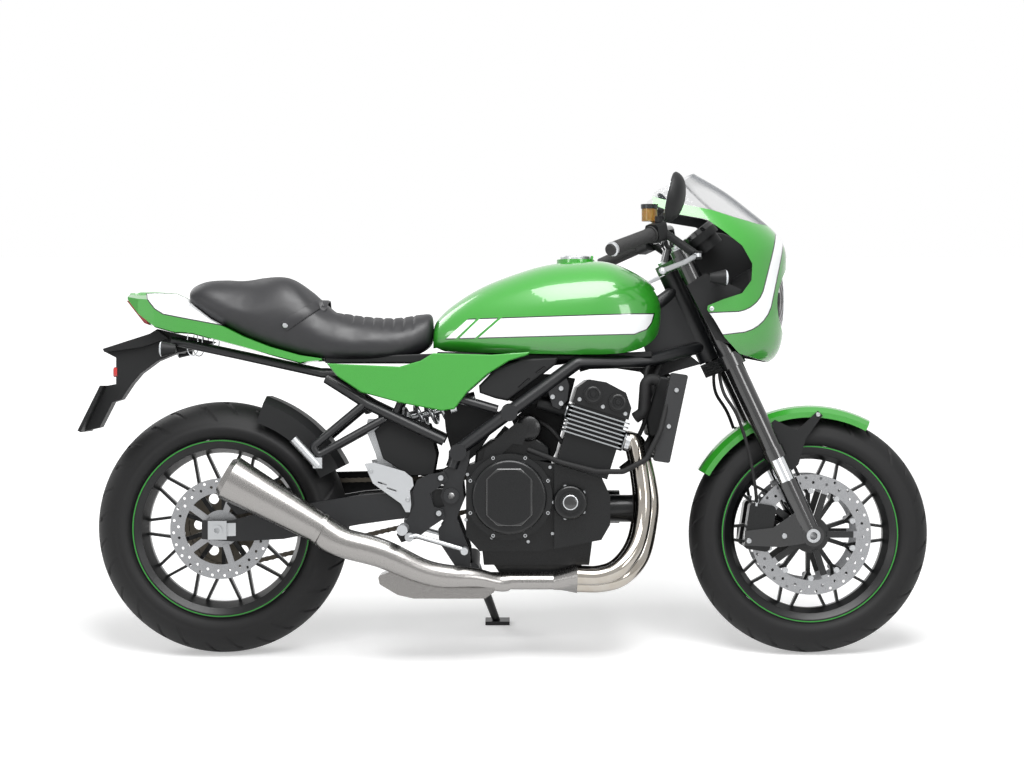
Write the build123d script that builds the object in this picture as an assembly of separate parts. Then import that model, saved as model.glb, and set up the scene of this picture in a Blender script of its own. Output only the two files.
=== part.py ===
"""A café racer motorcycle with a bikini cowl, parked on its side stand.

The bike is drawn upright, in millimetres: x forward from the middle of the wheelbase, y to the
rider's left, z up from the road. park() then leans it on its stand and moves the middle of its
box to the origin, so that the tyres and the stand's foot rest on z = 0.
"""

from build123d import *
import os
from math import acos, atan2, cos, degrees, radians, sin, sqrt, tan

# Stance
WHEELBASE = 1470.0
LEAN = 9.0
RAKE = 25.0
FORK_OFFSET = 38.0
FIT = 0.1
SEAT_GAP = 0.3
CLEAR = 5.0

# Tyres and wheels
FRONT_TYRE_RADIUS = 300.0
FRONT_TYRE_WIDTH = 120.0
FRONT_CROWN = 62.0
REAR_TYRE_RADIUS = 315.0
REAR_TYRE_WIDTH = 180.0
REAR_CROWN = 92.0
RIM_EDGE_RADIUS = 222.0
RIM_INNER_RADIUS = 187.0
FRONT_RIM_WIDTH = 89.0
REAR_RIM_WIDTH = 140.0
FLANGE = 6.0
SPOKES = 10
SPOKE_FORK_RADIUS = 96.0
SPOKE_THICKNESS = 7.0
SPOKE_SPREAD = 13.0
HUB_RADIUS = 38.0
AXLE_RADIUS = 12.5
AXLE_BORE_RADIUS = 9.5
FRONT_BORE_LENGTH = 254.0
PIVOT_BORE_RADIUS = 8.0
PIVOT_BORE_LENGTH = 284.0
FRONT_HUB_HALF = 62.0
REAR_HUB_HALF = 72.0

# Brakes
DISC_THICKNESS = 5.0
FRONT_DISC_RADIUS = 150.0
FRONT_DISC_Y = 70.0
REAR_DISC_RADIUS = 125.0
REAR_DISC_Y = 84.0
DISC_BAND = 36.0
DISC_HOLE_RADIUS = 3.6

# Fork and steering
FORK_SPACING = 206.0
FORK_OUTER_RADIUS = 25.0
FORK_SLIDER_RADIUS = 20.5
STEM_RADIUS = 15.0
HEAD_TUBE_RADIUS = 29.0
CLAMP_THICKNESS = 34.0
LOWER_CLAMP_AT = 462.0
UPPER_CLAMP_AT = 742.0
SLIDER_TOP_AT = 214.0
AXLE_CLAMP_TOP_AT = 150.0
STEERING_LOCK = 35.0

# Chain
CHAIN_PITCH = 15.875
CHAIN_Y = 105.0
CHAIN_WIDTH = 20.0
FRONT_TEETH = 15
REAR_TEETH = 42

# Swingarm and engine
PIVOT_X, PIVOT_Z = -160.0, 400.0
PIVOT_RADIUS = 22.0
ARM_IN = 119.0
ARM_OUT = 148.0
PLATE_IN = 120.0
PLATE_OUT = 136.0
TUBE_RADIUS = 16.0
STAY_RADIUS = 13.0
ENGINE_TILT = 17.5
CYLINDER_X, CYLINDER_Z = 196.0, 574.0
CYLINDER_DEPTH = 156.0
CYLINDER_HALF_WIDTH = 184.0
FIN_COUNT = 7
FIN_PITCH = 10.6
FIN_THICKNESS = 3.4
CRANK_HALF_WIDTH = 150.0
GEARBOX_HALF_WIDTH = 116.0
CRANK_X, CRANK_Z = 133.0, 386.0
CLUTCH_X, CLUTCH_Z = -17.0, 399.0
SPROCKET_X, SPROCKET_Z = -92.0, 398.0
HEADER_RADIUS = 20.5
HEADER_FEET = 62.0
HEADER_PITCH = 44.0
PORT_PITCH = 84.0
INLET_PITCH = 66.0
MUFFLER_Y = -212.0

# Side stand
STAND_PIVOT = (-112.0, 162.0, 228.0)
STAND_FOOT = (-48.0, 292.0)
STAND_FOLD = 94.0

# The cap on the tank
CAP_X, CAP_Z = 150.0, 989.0
CAP_RADIUS = 38.0
CAP_OPEN = 95.0


def axle_height(radius, crown):
    """Height of an axle over the road in the upright bike, such that the leaned tyre just touches."""
    return radius - crown + crown / cos(radians(LEAN))


FRONT_AXLE = Vector(WHEELBASE / 2, 0, axle_height(FRONT_TYRE_RADIUS, FRONT_CROWN))
REAR_AXLE = Vector(-WHEELBASE / 2, 0, axle_height(REAR_TYRE_RADIUS, REAR_CROWN))
UP_THE_FORK = Vector(-sin(radians(RAKE)), 0, cos(radians(RAKE)))
AHEAD_OF_FORK = Vector(cos(radians(RAKE)), 0, sin(radians(RAKE)))
STEM_FOOT = FRONT_AXLE - AHEAD_OF_FORK * FORK_OFFSET
LEG_Y = FORK_SPACING / 2

# The cowl, the bar and what they carry are drawn for an axle at this x and z, and move with it
DRAWN_AXLE = (735.0, 300.77)
FRONT_SHIFT = Vector(FRONT_AXLE.X - DRAWN_AXLE[0], 0, FRONT_AXLE.Z - DRAWN_AXLE[1])


def on_leg(distance, y=0.0, ahead=0.0):
    """A point on the fork legs' line, a distance up from the front axle."""
    return FRONT_AXLE + UP_THE_FORK * distance + AHEAD_OF_FORK * ahead + Vector(0, y, 0)


def on_stem(distance):
    """A point on the steering axis, as far up as on_leg at the same distance."""
    return STEM_FOOT + UP_THE_FORK * distance


# Shapes that many pieces use
def side_plate(points, y_low, y_high):
    """An outline of (x, z) points, as thick as from y_low to y_high."""
    plane = Plane(origin=(0, y_high, 0), x_dir=(1, 0, 0), z_dir=(0, -1, 0))
    return extrude(plane * make_face(Polyline(*points, close=True)), amount=y_high - y_low)


def both_sides(shape):
    """The shape and its mirror image on the bike's other side."""
    return shape + mirror(shape, about=Plane.XZ)


def rod(start, end, radius, end_radius=None):
    """A round bar from one point to another, tapered where end_radius is given."""
    start, end = Vector(*start), Vector(*end)
    way = end - start
    plane = Plane(origin=start, z_dir=way)
    if end_radius is None:
        return extrude(plane * Circle(radius), amount=way.length)
    return loft([plane * Circle(radius), Plane(origin=end, z_dir=way) * Circle(end_radius)])


def bent_tube(points, radius, bend):
    """A round bar through the points, with its corners bent to a radius."""
    path = FilletPolyline(*points, radius=bend) if len(points) > 2 else Polyline(*points)
    return sweep(Plane(origin=path @ 0, z_dir=path % 0) * Circle(radius), path=path)


def ring_of(profile, centre, arc=360.0, start=0.0):
    """A profile of (radius, y) points turned about the y axis through a centre."""
    face = Rot(0, -start, 0) * make_face(Polyline(*profile, close=True))
    return Pos(centre) * revolve(face, Axis.Y, -arc)


def across(x, z, radius, y_low, y_high):
    """A round bar along y."""
    return rod((x, y_low, z), (x, y_high, z), radius)


def rounded_section(x, z_low, z_high, half_width, fullness=0.62, belly=0.5, foot_share=0.8):
    """A section across the bike at x: flat underneath, full at its widest height, round on top."""
    z_wide = z_low + (z_high - z_low) * belly
    plane = Plane(origin=(x, 0, 0), x_dir=(0, 1, 0), z_dir=(1, 0, 0))
    top, foot, w = z_high - z_wide, z_wide - z_low, half_width
    right = [
        (w * foot_share, z_low),
        (w * 0.96, z_low + foot * 0.42),
        (w, z_wide),
        (w * 0.93, z_wide + top * 0.42),
        (w * fullness, z_high - top * 0.15),
    ]
    left = [(-y, z) for y, z in reversed(right)]
    return plane * make_face([Spline(*right, (0, z_high), *left), Line(left[-1], right[0])])


# Wheels
def tyre(axle, radius, width, crown):
    """The tyre: facets of a round crown, which meet at the angle of lean, and two side walls."""
    centre = radius - crown
    angles = [radians(LEAN * n) for n in (1, 3, 5, 7)]
    half = [(centre + crown * cos(a), crown * sin(a)) for a in angles]
    half.append((RIM_EDGE_RADIUS + 0.3 * (radius - RIM_EDGE_RADIUS), width / 2))
    half.append((RIM_EDGE_RADIUS + SEAT_GAP, 0.8 * width / 2))
    other = [(r, -y) for r, y in reversed(half)]
    return ring_of(half + other, axle)


def rim(axle, rim_width, hub_half, spoke_half):
    """The cast wheel: rim, hub with its bore, and spokes that fork on their way out."""
    h = rim_width / 2
    edge, inner = RIM_EDGE_RADIUS, RIM_INNER_RADIUS
    half = [
        (edge, h + FLANGE),
        (edge, h),
        (edge - 15, h - 4),
        (edge - 15, 17),
        (edge - 25, 11),
    ]
    inside = [(inner, -13), (inner + 12, -h + 3), (edge - 8, -h - FLANGE)]
    outline = half + [(r, -y) for r, y in reversed(half)]
    outline += [(r, y) for r, y in reversed(inside)] + [(r, -y) for r, y in inside]
    ring = ring_of(outline, (0, 0, 0))
    hub = Rot(90, 0, 0) * Cylinder(HUB_RADIUS, 2 * hub_half)
    step = 360 / SPOKES
    reach = inner + 4
    stem = spoke(HUB_RADIUS - 6, 0, SPOKE_FORK_RADIUS + 3, 0, SPOKE_THICKNESS * 1.5, spoke_half)
    arms = [
        spoke(SPOKE_FORK_RADIUS, 0, reach, turn, SPOKE_THICKNESS, spoke_half)
        for turn in (-SPOKE_SPREAD, SPOKE_SPREAD)
    ]
    star = stem + arms
    whole = ring + hub + [Rot(0, step * (n + 0.5), 0) * star for n in range(SPOKES)]
    whole -= Rot(90, 0, 0) * Cylinder(AXLE_RADIUS + FIT, 4 * hub_half)
    return Pos(axle) * whole


def spoke(r_in, turn_in, r_out, turn_out, thickness, half_depth):
    """A straight bar in the wheel's plane between two polar points, thinner across at the rim."""
    a = Vector(r_in * cos(radians(turn_in)), 0, r_in * sin(radians(turn_in)))
    b = Vector(r_out * cos(radians(turn_out)), 0, r_out * sin(radians(turn_out)))
    way = b - a
    near = Plane(origin=a, x_dir=(0, 1, 0), z_dir=way)
    far = Plane(origin=b, x_dir=(0, 1, 0), z_dir=way)
    deep, slim = 2 * half_depth, 1.2 * half_depth
    return loft([near * Rectangle(deep, thickness), far * Rectangle(slim, thickness)])


def brake_disc(axle, radius, y, carrier_radius, carrier_y, rows=((8, 24), (20, 24))):
    """A drilled brake disc on its carrier, which is bolted to the hub."""
    half = DISC_THICKNESS / 2
    inner = radius - DISC_BAND
    band = across(0, 0, radius, -half, half) - across(0, 0, inner, -half, half)
    for depth, count in rows:
        for n in range(count):
            a = radians(360 * (n + depth / 24) / count)
            x, z = (radius - depth) * cos(a), (radius - depth) * sin(a)
            band -= across(x, z, DISC_HOLE_RADIUS, -half, half)
    side = 1 if y > 0 else -1
    inward = sorted((-side * half, side * (carrier_y - abs(y))))
    carrier = across(0, 0, carrier_radius, *inward)
    arms = 5
    for n in range(arms):
        star = Rot(0, 360 / arms * n, 0)
        carrier += star * (Pos((carrier_radius + inner) / 2, 0, 0) * Box(inner - carrier_radius + 12, 2 * half, 16))
    carrier -= across(0, 0, AXLE_RADIUS + 8, -60, 60)
    return Pos(axle) * Pos(0, y, 0) * (band + carrier)


def sprocket_radius(teeth):
    return CHAIN_PITCH / 2 / sin(radians(180 / teeth))


def rear_sprocket():
    """The driven sprocket with its teeth, on the left of the rear hub."""
    pitch_radius = sprocket_radius(REAR_TEETH)
    half = 3.5
    root = pitch_radius - 5.2
    body = across(0, 0, root, -half, half)
    step = 360 / REAR_TEETH
    tooth = side_plate([(root - 3, -4.2), (pitch_radius + 3.5, -1.4), (pitch_radius + 3.5, 1.4), (root - 3, 4.2)], -half, half)
    body += [Rot(0, -step * (n + 0.5), 0) * tooth for n in range(REAR_TEETH)]
    for n in range(6):
        a = radians(60 * n)
        body -= across(76 * cos(a), 76 * sin(a), 13, -half, half)
    body -= across(0, 0, AXLE_RADIUS + 8, -half, half)
    body += across(0, 0, 54, REAR_HUB_HALF + SEAT_GAP - CHAIN_Y, -half) - across(0, 0, AXLE_RADIUS + 8, -200, 0)
    return Pos(REAR_AXLE) * Pos(0, CHAIN_Y, 0) * body


def chain_points(offset):
    """The chain's loop at the pins, pushed outward by an offset, one (x, z) for each half pitch."""
    small, large = sprocket_radius(FRONT_TEETH), sprocket_radius(REAR_TEETH)
    front, rear = Vector(SPROCKET_X, 0, SPROCKET_Z), REAR_AXLE
    run = front - rear
    centres = sqrt(run.X**2 + run.Z**2)
    tilt = degrees(atan2(run.Z, run.X))
    spread = degrees(acos((large - small) / centres))
    straight = sqrt(centres**2 - (large - small) ** 2)
    wrap_large = radians(360 - 2 * spread) * large
    wrap_small = radians(2 * spread) * small
    total = 2 * straight + wrap_large + wrap_small
    links = 2 * round(total / CHAIN_PITCH / 2)
    spots = []
    for n in range(2 * links):
        s = total * n / (2 * links)
        push = offset if n % 2 == 0 else offset * 0.78
        if s < wrap_large:
            a = radians(tilt + spread + degrees(s / large))
            centre, r = rear, large + push
        elif s < wrap_large + straight:
            a = radians(tilt - spread)
            along = (s - wrap_large) / straight
            centre = rear + (front - rear) * along
            r = large + (small - large) * along + push
        elif s < wrap_large + straight + wrap_small:
            a = radians(tilt - spread + degrees((s - wrap_large - straight) / small))
            centre, r = front, small + push
        else:
            a = radians(tilt + spread)
            along = (s - wrap_large - straight - wrap_small) / straight
            centre = front + (rear - front) * along
            r = small + (large - small) * along + push
        spots.append((centre.X + r * cos(a), centre.Z + r * sin(a)))
    return spots


def chain():
    """The drive chain as one loop, waisted between its pins, with a slot for the sprockets."""
    outer, inner = chain_points(7.4), chain_points(-5.0)
    half = CHAIN_WIDTH / 2
    slot = 4.2
    loop = side_plate(outer, CHAIN_Y - half, CHAIN_Y + half)
    loop -= side_plate(inner, CHAIN_Y - half, CHAIN_Y + half)
    groove = side_plate(chain_points(4.4), CHAIN_Y - slot, CHAIN_Y + slot)
    return loop - groove


# Front end
def fork_outers():
    """The two upper fork tubes, with their lower seals."""
    leg = rod(on_leg(SLIDER_TOP_AT, LEG_Y), on_leg(UPPER_CLAMP_AT + CLAMP_THICKNESS + 6, LEG_Y), FORK_OUTER_RADIUS)
    leg += rod(on_leg(SLIDER_TOP_AT - 4, LEG_Y), on_leg(SLIDER_TOP_AT + 26, LEG_Y), FORK_OUTER_RADIUS + 3)
    leg -= rod(on_leg(SLIDER_TOP_AT - 10, LEG_Y), on_leg(SLIDER_TOP_AT + 60, LEG_Y), FORK_SLIDER_RADIUS)
    return both_sides(leg)


def fork_sliders():
    """The two bright sliders between the seals and the axle clamps."""
    return both_sides(rod(on_leg(AXLE_CLAMP_TOP_AT - 20, LEG_Y), on_leg(SLIDER_TOP_AT + 60, LEG_Y), FORK_SLIDER_RADIUS))


def axle_clamps():
    """The cast fork bottoms: a socket for each slider, an axle clamp, and arms that carry the calipers."""
    leg = rod(on_leg(14, LEG_Y), on_leg(AXLE_CLAMP_TOP_AT, LEG_Y), FORK_SLIDER_RADIUS + 2, FORK_SLIDER_RADIUS + 5)
    leg += across(FRONT_AXLE.X, FRONT_AXLE.Z, 27, LEG_Y - 20, LEG_Y + 18)
    low, high = on_leg(6), on_leg(74)
    arm = [
        (low.X, low.Z - 22),
        (low.X - 78, low.Z - 34),
        (low.X - 168, low.Z - 30),
        (low.X - 166, low.Z + 6),
        (low.X - 96, low.Z + 14),
        (high.X - 30, high.Z - 22),
        (high.X, high.Z),
        (high.X + 16, high.Z - 20),
        (low.X + 18, low.Z),
    ]
    leg += side_plate(arm, LEG_Y + 2, LEG_Y + 14)
    leg -= rod(on_leg(AXLE_CLAMP_TOP_AT - 20, LEG_Y), on_leg(AXLE_CLAMP_TOP_AT + 30, LEG_Y), FORK_SLIDER_RADIUS)
    leg -= across(FRONT_AXLE.X, FRONT_AXLE.Z, AXLE_RADIUS, 0, 2 * LEG_Y)
    return both_sides(leg)


def front_axle():
    """The hollow front axle."""
    half = LEG_Y + 22
    shaft = across(FRONT_AXLE.X, FRONT_AXLE.Z, AXLE_RADIUS, -half, half)
    shaft += across(FRONT_AXLE.X, FRONT_AXLE.Z, 17, -half - 4, -LEG_Y - 18 - SEAT_GAP)
    return shaft - across(FRONT_AXLE.X, FRONT_AXLE.Z, AXLE_BORE_RADIUS, -2 * half, 2 * half)


def triple_clamps():
    """The lower and upper yokes with the steering stem between them."""
    yokes = rod(on_stem(LOWER_CLAMP_AT), on_stem(UPPER_CLAMP_AT + 30), STEM_RADIUS)
    for at in (LOWER_CLAMP_AT, UPPER_CLAMP_AT):
        plane = Plane(origin=on_stem(at), x_dir=(0, 1, 0), z_dir=UP_THE_FORK)
        outline = make_hull(
            [
                Circle(30).edge(),
                (Pos(LEG_Y, -FORK_OFFSET) * Circle(FORK_OUTER_RADIUS + 8)).edge(),
                (Pos(-LEG_Y, -FORK_OFFSET) * Circle(FORK_OUTER_RADIUS + 8)).edge(),
            ]
        )
        yokes += extrude(plane * outline, amount=CLAMP_THICKNESS if at < UPPER_CLAMP_AT else CLAMP_THICKNESS - 10)
    for y in (-LEG_Y, LEG_Y):
        yokes -= rod(on_leg(LOWER_CLAMP_AT - 10, y), on_leg(UPPER_CLAMP_AT + 60, y), FORK_OUTER_RADIUS)
    return yokes


BAR_RADIUS = 11.0
BAR_CENTRE = (388.0, 1028.0)
BAR_INNER = (350.0, -250.0, 1047.0)
BAR_END = (232.0, -392.0, 997.0)


def bar_points():
    """The handlebar's bends from the right end to the left one."""
    right = [BAR_END, BAR_INNER, (376, -186, 1054), (BAR_CENTRE[0], -92, BAR_CENTRE[1])]
    return right + [(x, -y, z) for x, y, z in reversed(right)]


def handlebar():
    """The tubular bar on its two risers."""
    bar = Pos(FRONT_SHIFT) * bent_tube(bar_points(), BAR_RADIUS, 26)
    top = on_stem(UPPER_CLAMP_AT + CLAMP_THICKNESS - 10)
    x, z = BAR_CENTRE[0] + FRONT_SHIFT.X, BAR_CENTRE[1] + FRONT_SHIFT.Z
    for y in (-46, 46):
        bar += across(x, z, 19, y - 15, y + 15)
        bar += rod((top.X, y, top.Z), (x, y, z - 4), 12)
        bar -= extrude(Plane(origin=top + Vector(0, y, 0), z_dir=-UP_THE_FORK) * Circle(40), amount=40)
    return bar


def on_bar(share, ahead=0.0, lift=0.0):
    """A point on the straight of the right grip, from its inner end at 0 to the bar's end at 1."""
    a, b = Vector(*BAR_INNER), Vector(*BAR_END)
    return a + (b - a) * share + Vector(ahead, 0, lift)


def grips():
    """The two rubber grips with their bar-end weights."""
    grip = rod(on_bar(0.2), on_bar(1.0), 17) - rod(on_bar(0.1), on_bar(1.2), BAR_RADIUS)
    grip += rod(on_bar(0.2), on_bar(0.23), 20) - rod(on_bar(0.1), on_bar(0.4), BAR_RADIUS)
    grip += rod(on_bar(1.0), on_bar(1.09), 14)
    return both_sides(grip)


def switches():
    """The switch housings inboard of the grips, with the lever perches."""
    way = Vector(*BAR_END) - Vector(*BAR_INNER)
    plane = Plane(origin=on_bar(-0.02), x_dir=(0, 0, 1), z_dir=way)
    case = extrude(plane * RectangleRounded(46, 38, 9), amount=0.2 * way.length)
    pivot = on_bar(*LEVER_PIVOT)
    case += rod(on_bar(0.02, 6, 0), pivot, 10) + Pos(pivot) * Cylinder(13, 20)
    case -= Pos(pivot) * Cylinder(16, 9 + 2 * SEAT_GAP)
    case -= rod(on_bar(-0.6), on_bar(1.2), BAR_RADIUS)
    return both_sides(case)


def levers():
    """The brake and clutch levers, bent towards their round tips."""
    pivot = on_bar(*LEVER_PIVOT)
    bend, tip = on_bar(0.36, 94, -62), on_bar(0.98, 112, -54)
    lever = bent_tube([pivot, bend, tip], 6.5, 60)
    lever += Pos(tip) * Sphere(9)
    lever += Pos(pivot) * Cylinder(11, 9)
    return both_sides(lever)


def reservoir():
    """The brake fluid pot behind the right of the bar, on its bracket."""
    x, y, z = POT_SPOT
    base = (Align.CENTER, Align.CENTER, Align.MIN)
    pot = Pos(x, y, z) * Cylinder(POT_RADIUS, 31, align=base)
    pot += Pos(x, y, z + 31) * Cylinder(POT_RADIUS + 2, 10, align=base)
    return pot + rod((x, y, z + 6), (x + 21, y + 4, z - 6.5), 5)


LEVER_PIVOT = (0.02, 90.0, -58.0)
POT_SPOT = (324.0, -231.0, 1071.5)
POT_RADIUS = 19.0
MIRROR_SPOT = (372.0, -346.0, 1122.0)
MIRROR_RADIUS = 61.0


def mirrors():
    """The two round mirrors on their stalks."""
    x, y, z = MIRROR_SPOT
    plane = Plane(origin=(x, y, z), x_dir=(0, 1, 0), z_dir=(-0.97, 0.12, 0.2))
    back = Plane.XZ * make_face(
        [
            Spline((MIRROR_RADIUS, 0), (MIRROR_RADIUS * 0.86, -15), (MIRROR_RADIUS * 0.5, -27), (0, -32)),
            Polyline((0, -32), (0, 8), (MIRROR_RADIUS - 4, 8), (MIRROR_RADIUS, 4), (MIRROR_RADIUS, 0)),
        ]
    )
    root = on_bar(0.06, 2, 29.5)
    stalk = bent_tube([root, (x - 6, -262, 1098), (x + 24, y + 20, z - 4)], 5, 20)
    stalk += rod(root - Vector(0, 0, 6), root + Vector(0, 0, 8), 9)
    return both_sides(plane * revolve(back, Axis.Z) + stalk)


# The cowl's surface: for each height, the nose's x, the half width and the length of the round nose
COWL_WALL = 4.0
COWL_BACK = 318.0
COWL_STATIONS = (
    (724, 618, 104, 128),
    (765, 662, 140, 150),
    (820, 672, 164, 178),
    (890, 675, 178, 196),
    (960, 678, 186, 210),
    (1010, 676, 188, 214),
    (1050, 655, 186, 206),
    (1080, 624, 181, 190),
    (1130, 562, 164, 172),
    (1172, 502, 142, 140),
    (1206, 444, 122, 96),
)
COWL_OUTLINE = (
    (335, 1137),
    (336, 1117),
    (393, 1093),
    (466, 1081),
    (506, 1053),
    (555, 1016),
    (581, 972),
    (579, 931),
    (555, 899),
    (506, 883),
    (470, 868),
    (469, 858),
    (486, 835),
    (514, 790),
    (552, 751),
    (600, 738),
    (640, 728),
    (700, 728),
    (700, 1040),
    (664, 1052),
    (636, 1072),
    (598, 1073),
    (538, 1087),
    (480, 1104),
    (405, 1117),
)
SCREEN_OUTLINE = (
    (335, 1138),
    (405, 1118),
    (480, 1105),
    (538, 1088),
    (598, 1074),
    (636, 1073),
    (664, 1053),
    (700, 1041),
    (700, 1230),
    (448, 1204),
    (340, 1148),
)
LAMP_BACK = 560.0
HEADLIGHT_Z = 884.0
HEADLIGHT_RADIUS = 84.0


def cowl_body(inset, length_back):
    """The solid inside the cowl's surface, drawn in by an inset all round."""
    sections = []
    for z, nose, half, depth in COWL_STATIONS:
        plane = Plane(origin=(0, 0, z), x_dir=(1, 0, 0), z_dir=(0, 0, 1))
        tip, w, root = nose - inset, half - inset, nose - depth
        cheek = root + (tip - root) * 0.62
        bend = [(root, -w), (cheek, -w * 0.78), (tip, 0), (cheek, w * 0.78), (root, w)]
        nose_line = Spline(*bend, tangents=[(1, 0), (-1, 0)])
        back = Polyline((root, w), (length_back, w), (length_back, -w), (root, -w))
        sections.append(plane * make_face([nose_line, back]))
    return loft(sections)


def cowl_shell():
    """The cowl's surface with its wall."""
    return cowl_body(0, COWL_BACK) - cowl_body(COWL_WALL, COWL_BACK - 10)


def cowl(shell):
    """The bikini cowl: the shell inside its side outline, with the lamp's hole."""
    piece = shell & side_plate(COWL_OUTLINE, -250, 250)
    return piece - rod((540, 0, HEADLIGHT_Z), (760, 0, HEADLIGHT_Z), HEADLIGHT_RADIUS + 3)


def windscreen(shell):
    """The clear screen on top of the cowl."""
    return shell & side_plate(SCREEN_OUTLINE, -250, 250)


def headlight():
    """The round lamp in the cowl's nose: a bowl, a rim and a domed lens."""
    start = Plane(origin=(LAMP_BACK, 0, HEADLIGHT_Z), z_dir=(1, 0, 0))
    outline = [
        (0, 0),
        (52, 0),
        (74, 30),
        (HEADLIGHT_RADIUS, 62),
        (HEADLIGHT_RADIUS, 96),
        (HEADLIGHT_RADIUS - 18, 108),
        (34, 114),
        (0, 115),
    ]
    return start * revolve(Plane.XZ * make_face(Polyline(*outline, close=True)), Axis.Z)


def lamp_stay():
    """The bracket that carries the cowl and the instruments on the yokes, and the lamp's bucket."""
    low, high = on_leg(LOWER_CLAMP_AT + 50), on_leg(UPPER_CLAMP_AT - 60)
    y = LEG_Y + FORK_OUTER_RADIUS + 8 + SEAT_GAP
    plate = [
        (low.X - 26, low.Z + 20),
        (low.X + 16, low.Z + 8),
        (low.X + 30, low.Z + 60),
        (high.X + 90, high.Z - 40),
        (high.X + 110, high.Z - 10),
        (high.X + 20, high.Z + 30),
        (high.X - 26, high.Z),
    ]
    stay = side_plate(plate, y, y + 6)
    stay += across(high.X + 96, high.Z - 26, 7, 0, y + 3)
    start = Plane(origin=(LAMP_BACK, 0, HEADLIGHT_Z), z_dir=(1, 0, 0))
    outside = [(0, -18), (56, -18), (80, 22), (91, 54), (91, 70)]
    inside = [(88, 70), (88, 54), (77.5, 24), (55, -SEAT_GAP), (0, -SEAT_GAP)]
    bucket = start * revolve(Plane.XZ * make_face(Polyline(*outside, *inside, close=True)), Axis.Z)
    return both_sides(stay) + Pos(FRONT_SHIFT) * bucket


def instruments():
    """The two round meters and the panel between them."""
    tilt = Vector(-cos(radians(52)), 0, sin(radians(52)))
    panel = Plane(origin=(470, 0, 1034), x_dir=(0, 1, 0), z_dir=tilt)
    meters = extrude(panel * RectangleRounded(120, 62, 14), amount=16)
    for y in (-58, 58):
        meters += extrude(panel * Pos(y, 0) * Circle(44), amount=30)
        meters += extrude(panel * Pos(y, 0) * Circle(36), amount=-26)
    return meters


def front_signals():
    """The bullet turn signals on stalks from the fork."""
    x, y, z = 508, 196, 936
    tip, tail = Plane(origin=(x, y, z), z_dir=(1, 0, 0)), Plane(origin=(x - 34, y, z), z_dir=(1, 0, 0))
    lamp = loft([tip * Circle(19), tail * Circle(11)])
    lamp += rod((x, y, z), (x + 5, y, z), 20)
    root = LEG_Y + FORK_OUTER_RADIUS + 14 + 2 * SEAT_GAP
    lamp += rod((x - 12, root, z), (x - 12, y, z), 8)
    return both_sides(lamp)


FENDER_GAP = 17.0
FENDER_WALL = 3.5
FENDER_HALF_WIDTH = 69.0


def front_fender():
    """The front mudguard: a U section over the tyre."""
    outer = FRONT_TYRE_RADIUS + FENDER_GAP + FENDER_WALL + 1
    low = FRONT_TYRE_RADIUS - 8
    half, wall = FENDER_HALF_WIDTH, FENDER_WALL
    profile = [
        (low, half), (outer - 16, half), (outer - 4, half - 16), (outer, half - 34),
        (outer, 34 - half), (outer - 4, 16 - half), (outer - 16, -half), (low, -half),
        (low, wall - half), (outer - 17, wall - half), (outer - 7, 18 - half), (outer - wall, 35 - half),
        (outer - wall, half - 35), (outer - 7, half - 18), (outer - 17, half - wall), (low, half - wall),
    ]
    return ring_of(profile, FRONT_AXLE, arc=88, start=62)


def fender_stays():
    """The plates that bolt the mudguard to the fork bottoms."""
    outline = [
        (650, 456), (682, 456), (704, 476), (722, 540), (764, 598),
        (752, 609), (700, 560), (645, 587), (632, 576), (662, 520),
    ]
    y = FENDER_HALF_WIDTH + SEAT_GAP
    lug = on_leg(AXLE_CLAMP_TOP_AT + 14)
    bolt = rod((lug.X, y, lug.Z), (lug.X, LEG_Y - FORK_SLIDER_RADIUS - SEAT_GAP, lug.Z), 8)
    return both_sides(Pos(FRONT_SHIFT) * side_plate(outline, y, y + 5) + bolt)


CALIPER_SPOT = (-128.0, -2.0)


def caliper(axle, spot, disc_y, y_low, y_high, size, disc_radius):
    """A brake caliper that straddles its disc, square to the line from the axle."""
    x, z = axle.X + spot[0], axle.Z + spot[1]
    width, height = size
    block = Box(width, y_high - y_low, height)
    block = fillet(block.edges().filter_by(Axis.Y), 12)
    turned = Pos(x, (y_low + y_high) / 2, z) * Rot(0, -degrees(atan2(spot[1], spot[0])), 0) * block
    half = DISC_THICKNESS / 2 + CLEAR
    return turned - Pos(axle) * across(0, 0, disc_radius + CLEAR, disc_y - half, disc_y + half)


def front_calipers():
    """The two four-piston calipers behind the fork legs."""
    y_high = LEG_Y + 2 - SEAT_GAP
    size = (66, 116)
    return both_sides(caliper(FRONT_AXLE, (-130, 20), FRONT_DISC_Y, 48, y_high, size, FRONT_DISC_RADIUS))


def rear_caliper():
    """The caliper over the rear disc, on a bracket from the right arm."""
    body = caliper(REAR_AXLE, (74, 82), -REAR_DISC_Y, -114, -62, (58, 84), REAR_DISC_RADIUS)
    corners = [(95, 94), (45, 114), (19, 64), (45, 36), (95, 46)]
    outline = [(REAR_AXLE.X + x, REAR_AXLE.Z + z) for x, z in corners]
    return body + side_plate(outline, -ARM_IN + SEAT_GAP, -112)


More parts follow.
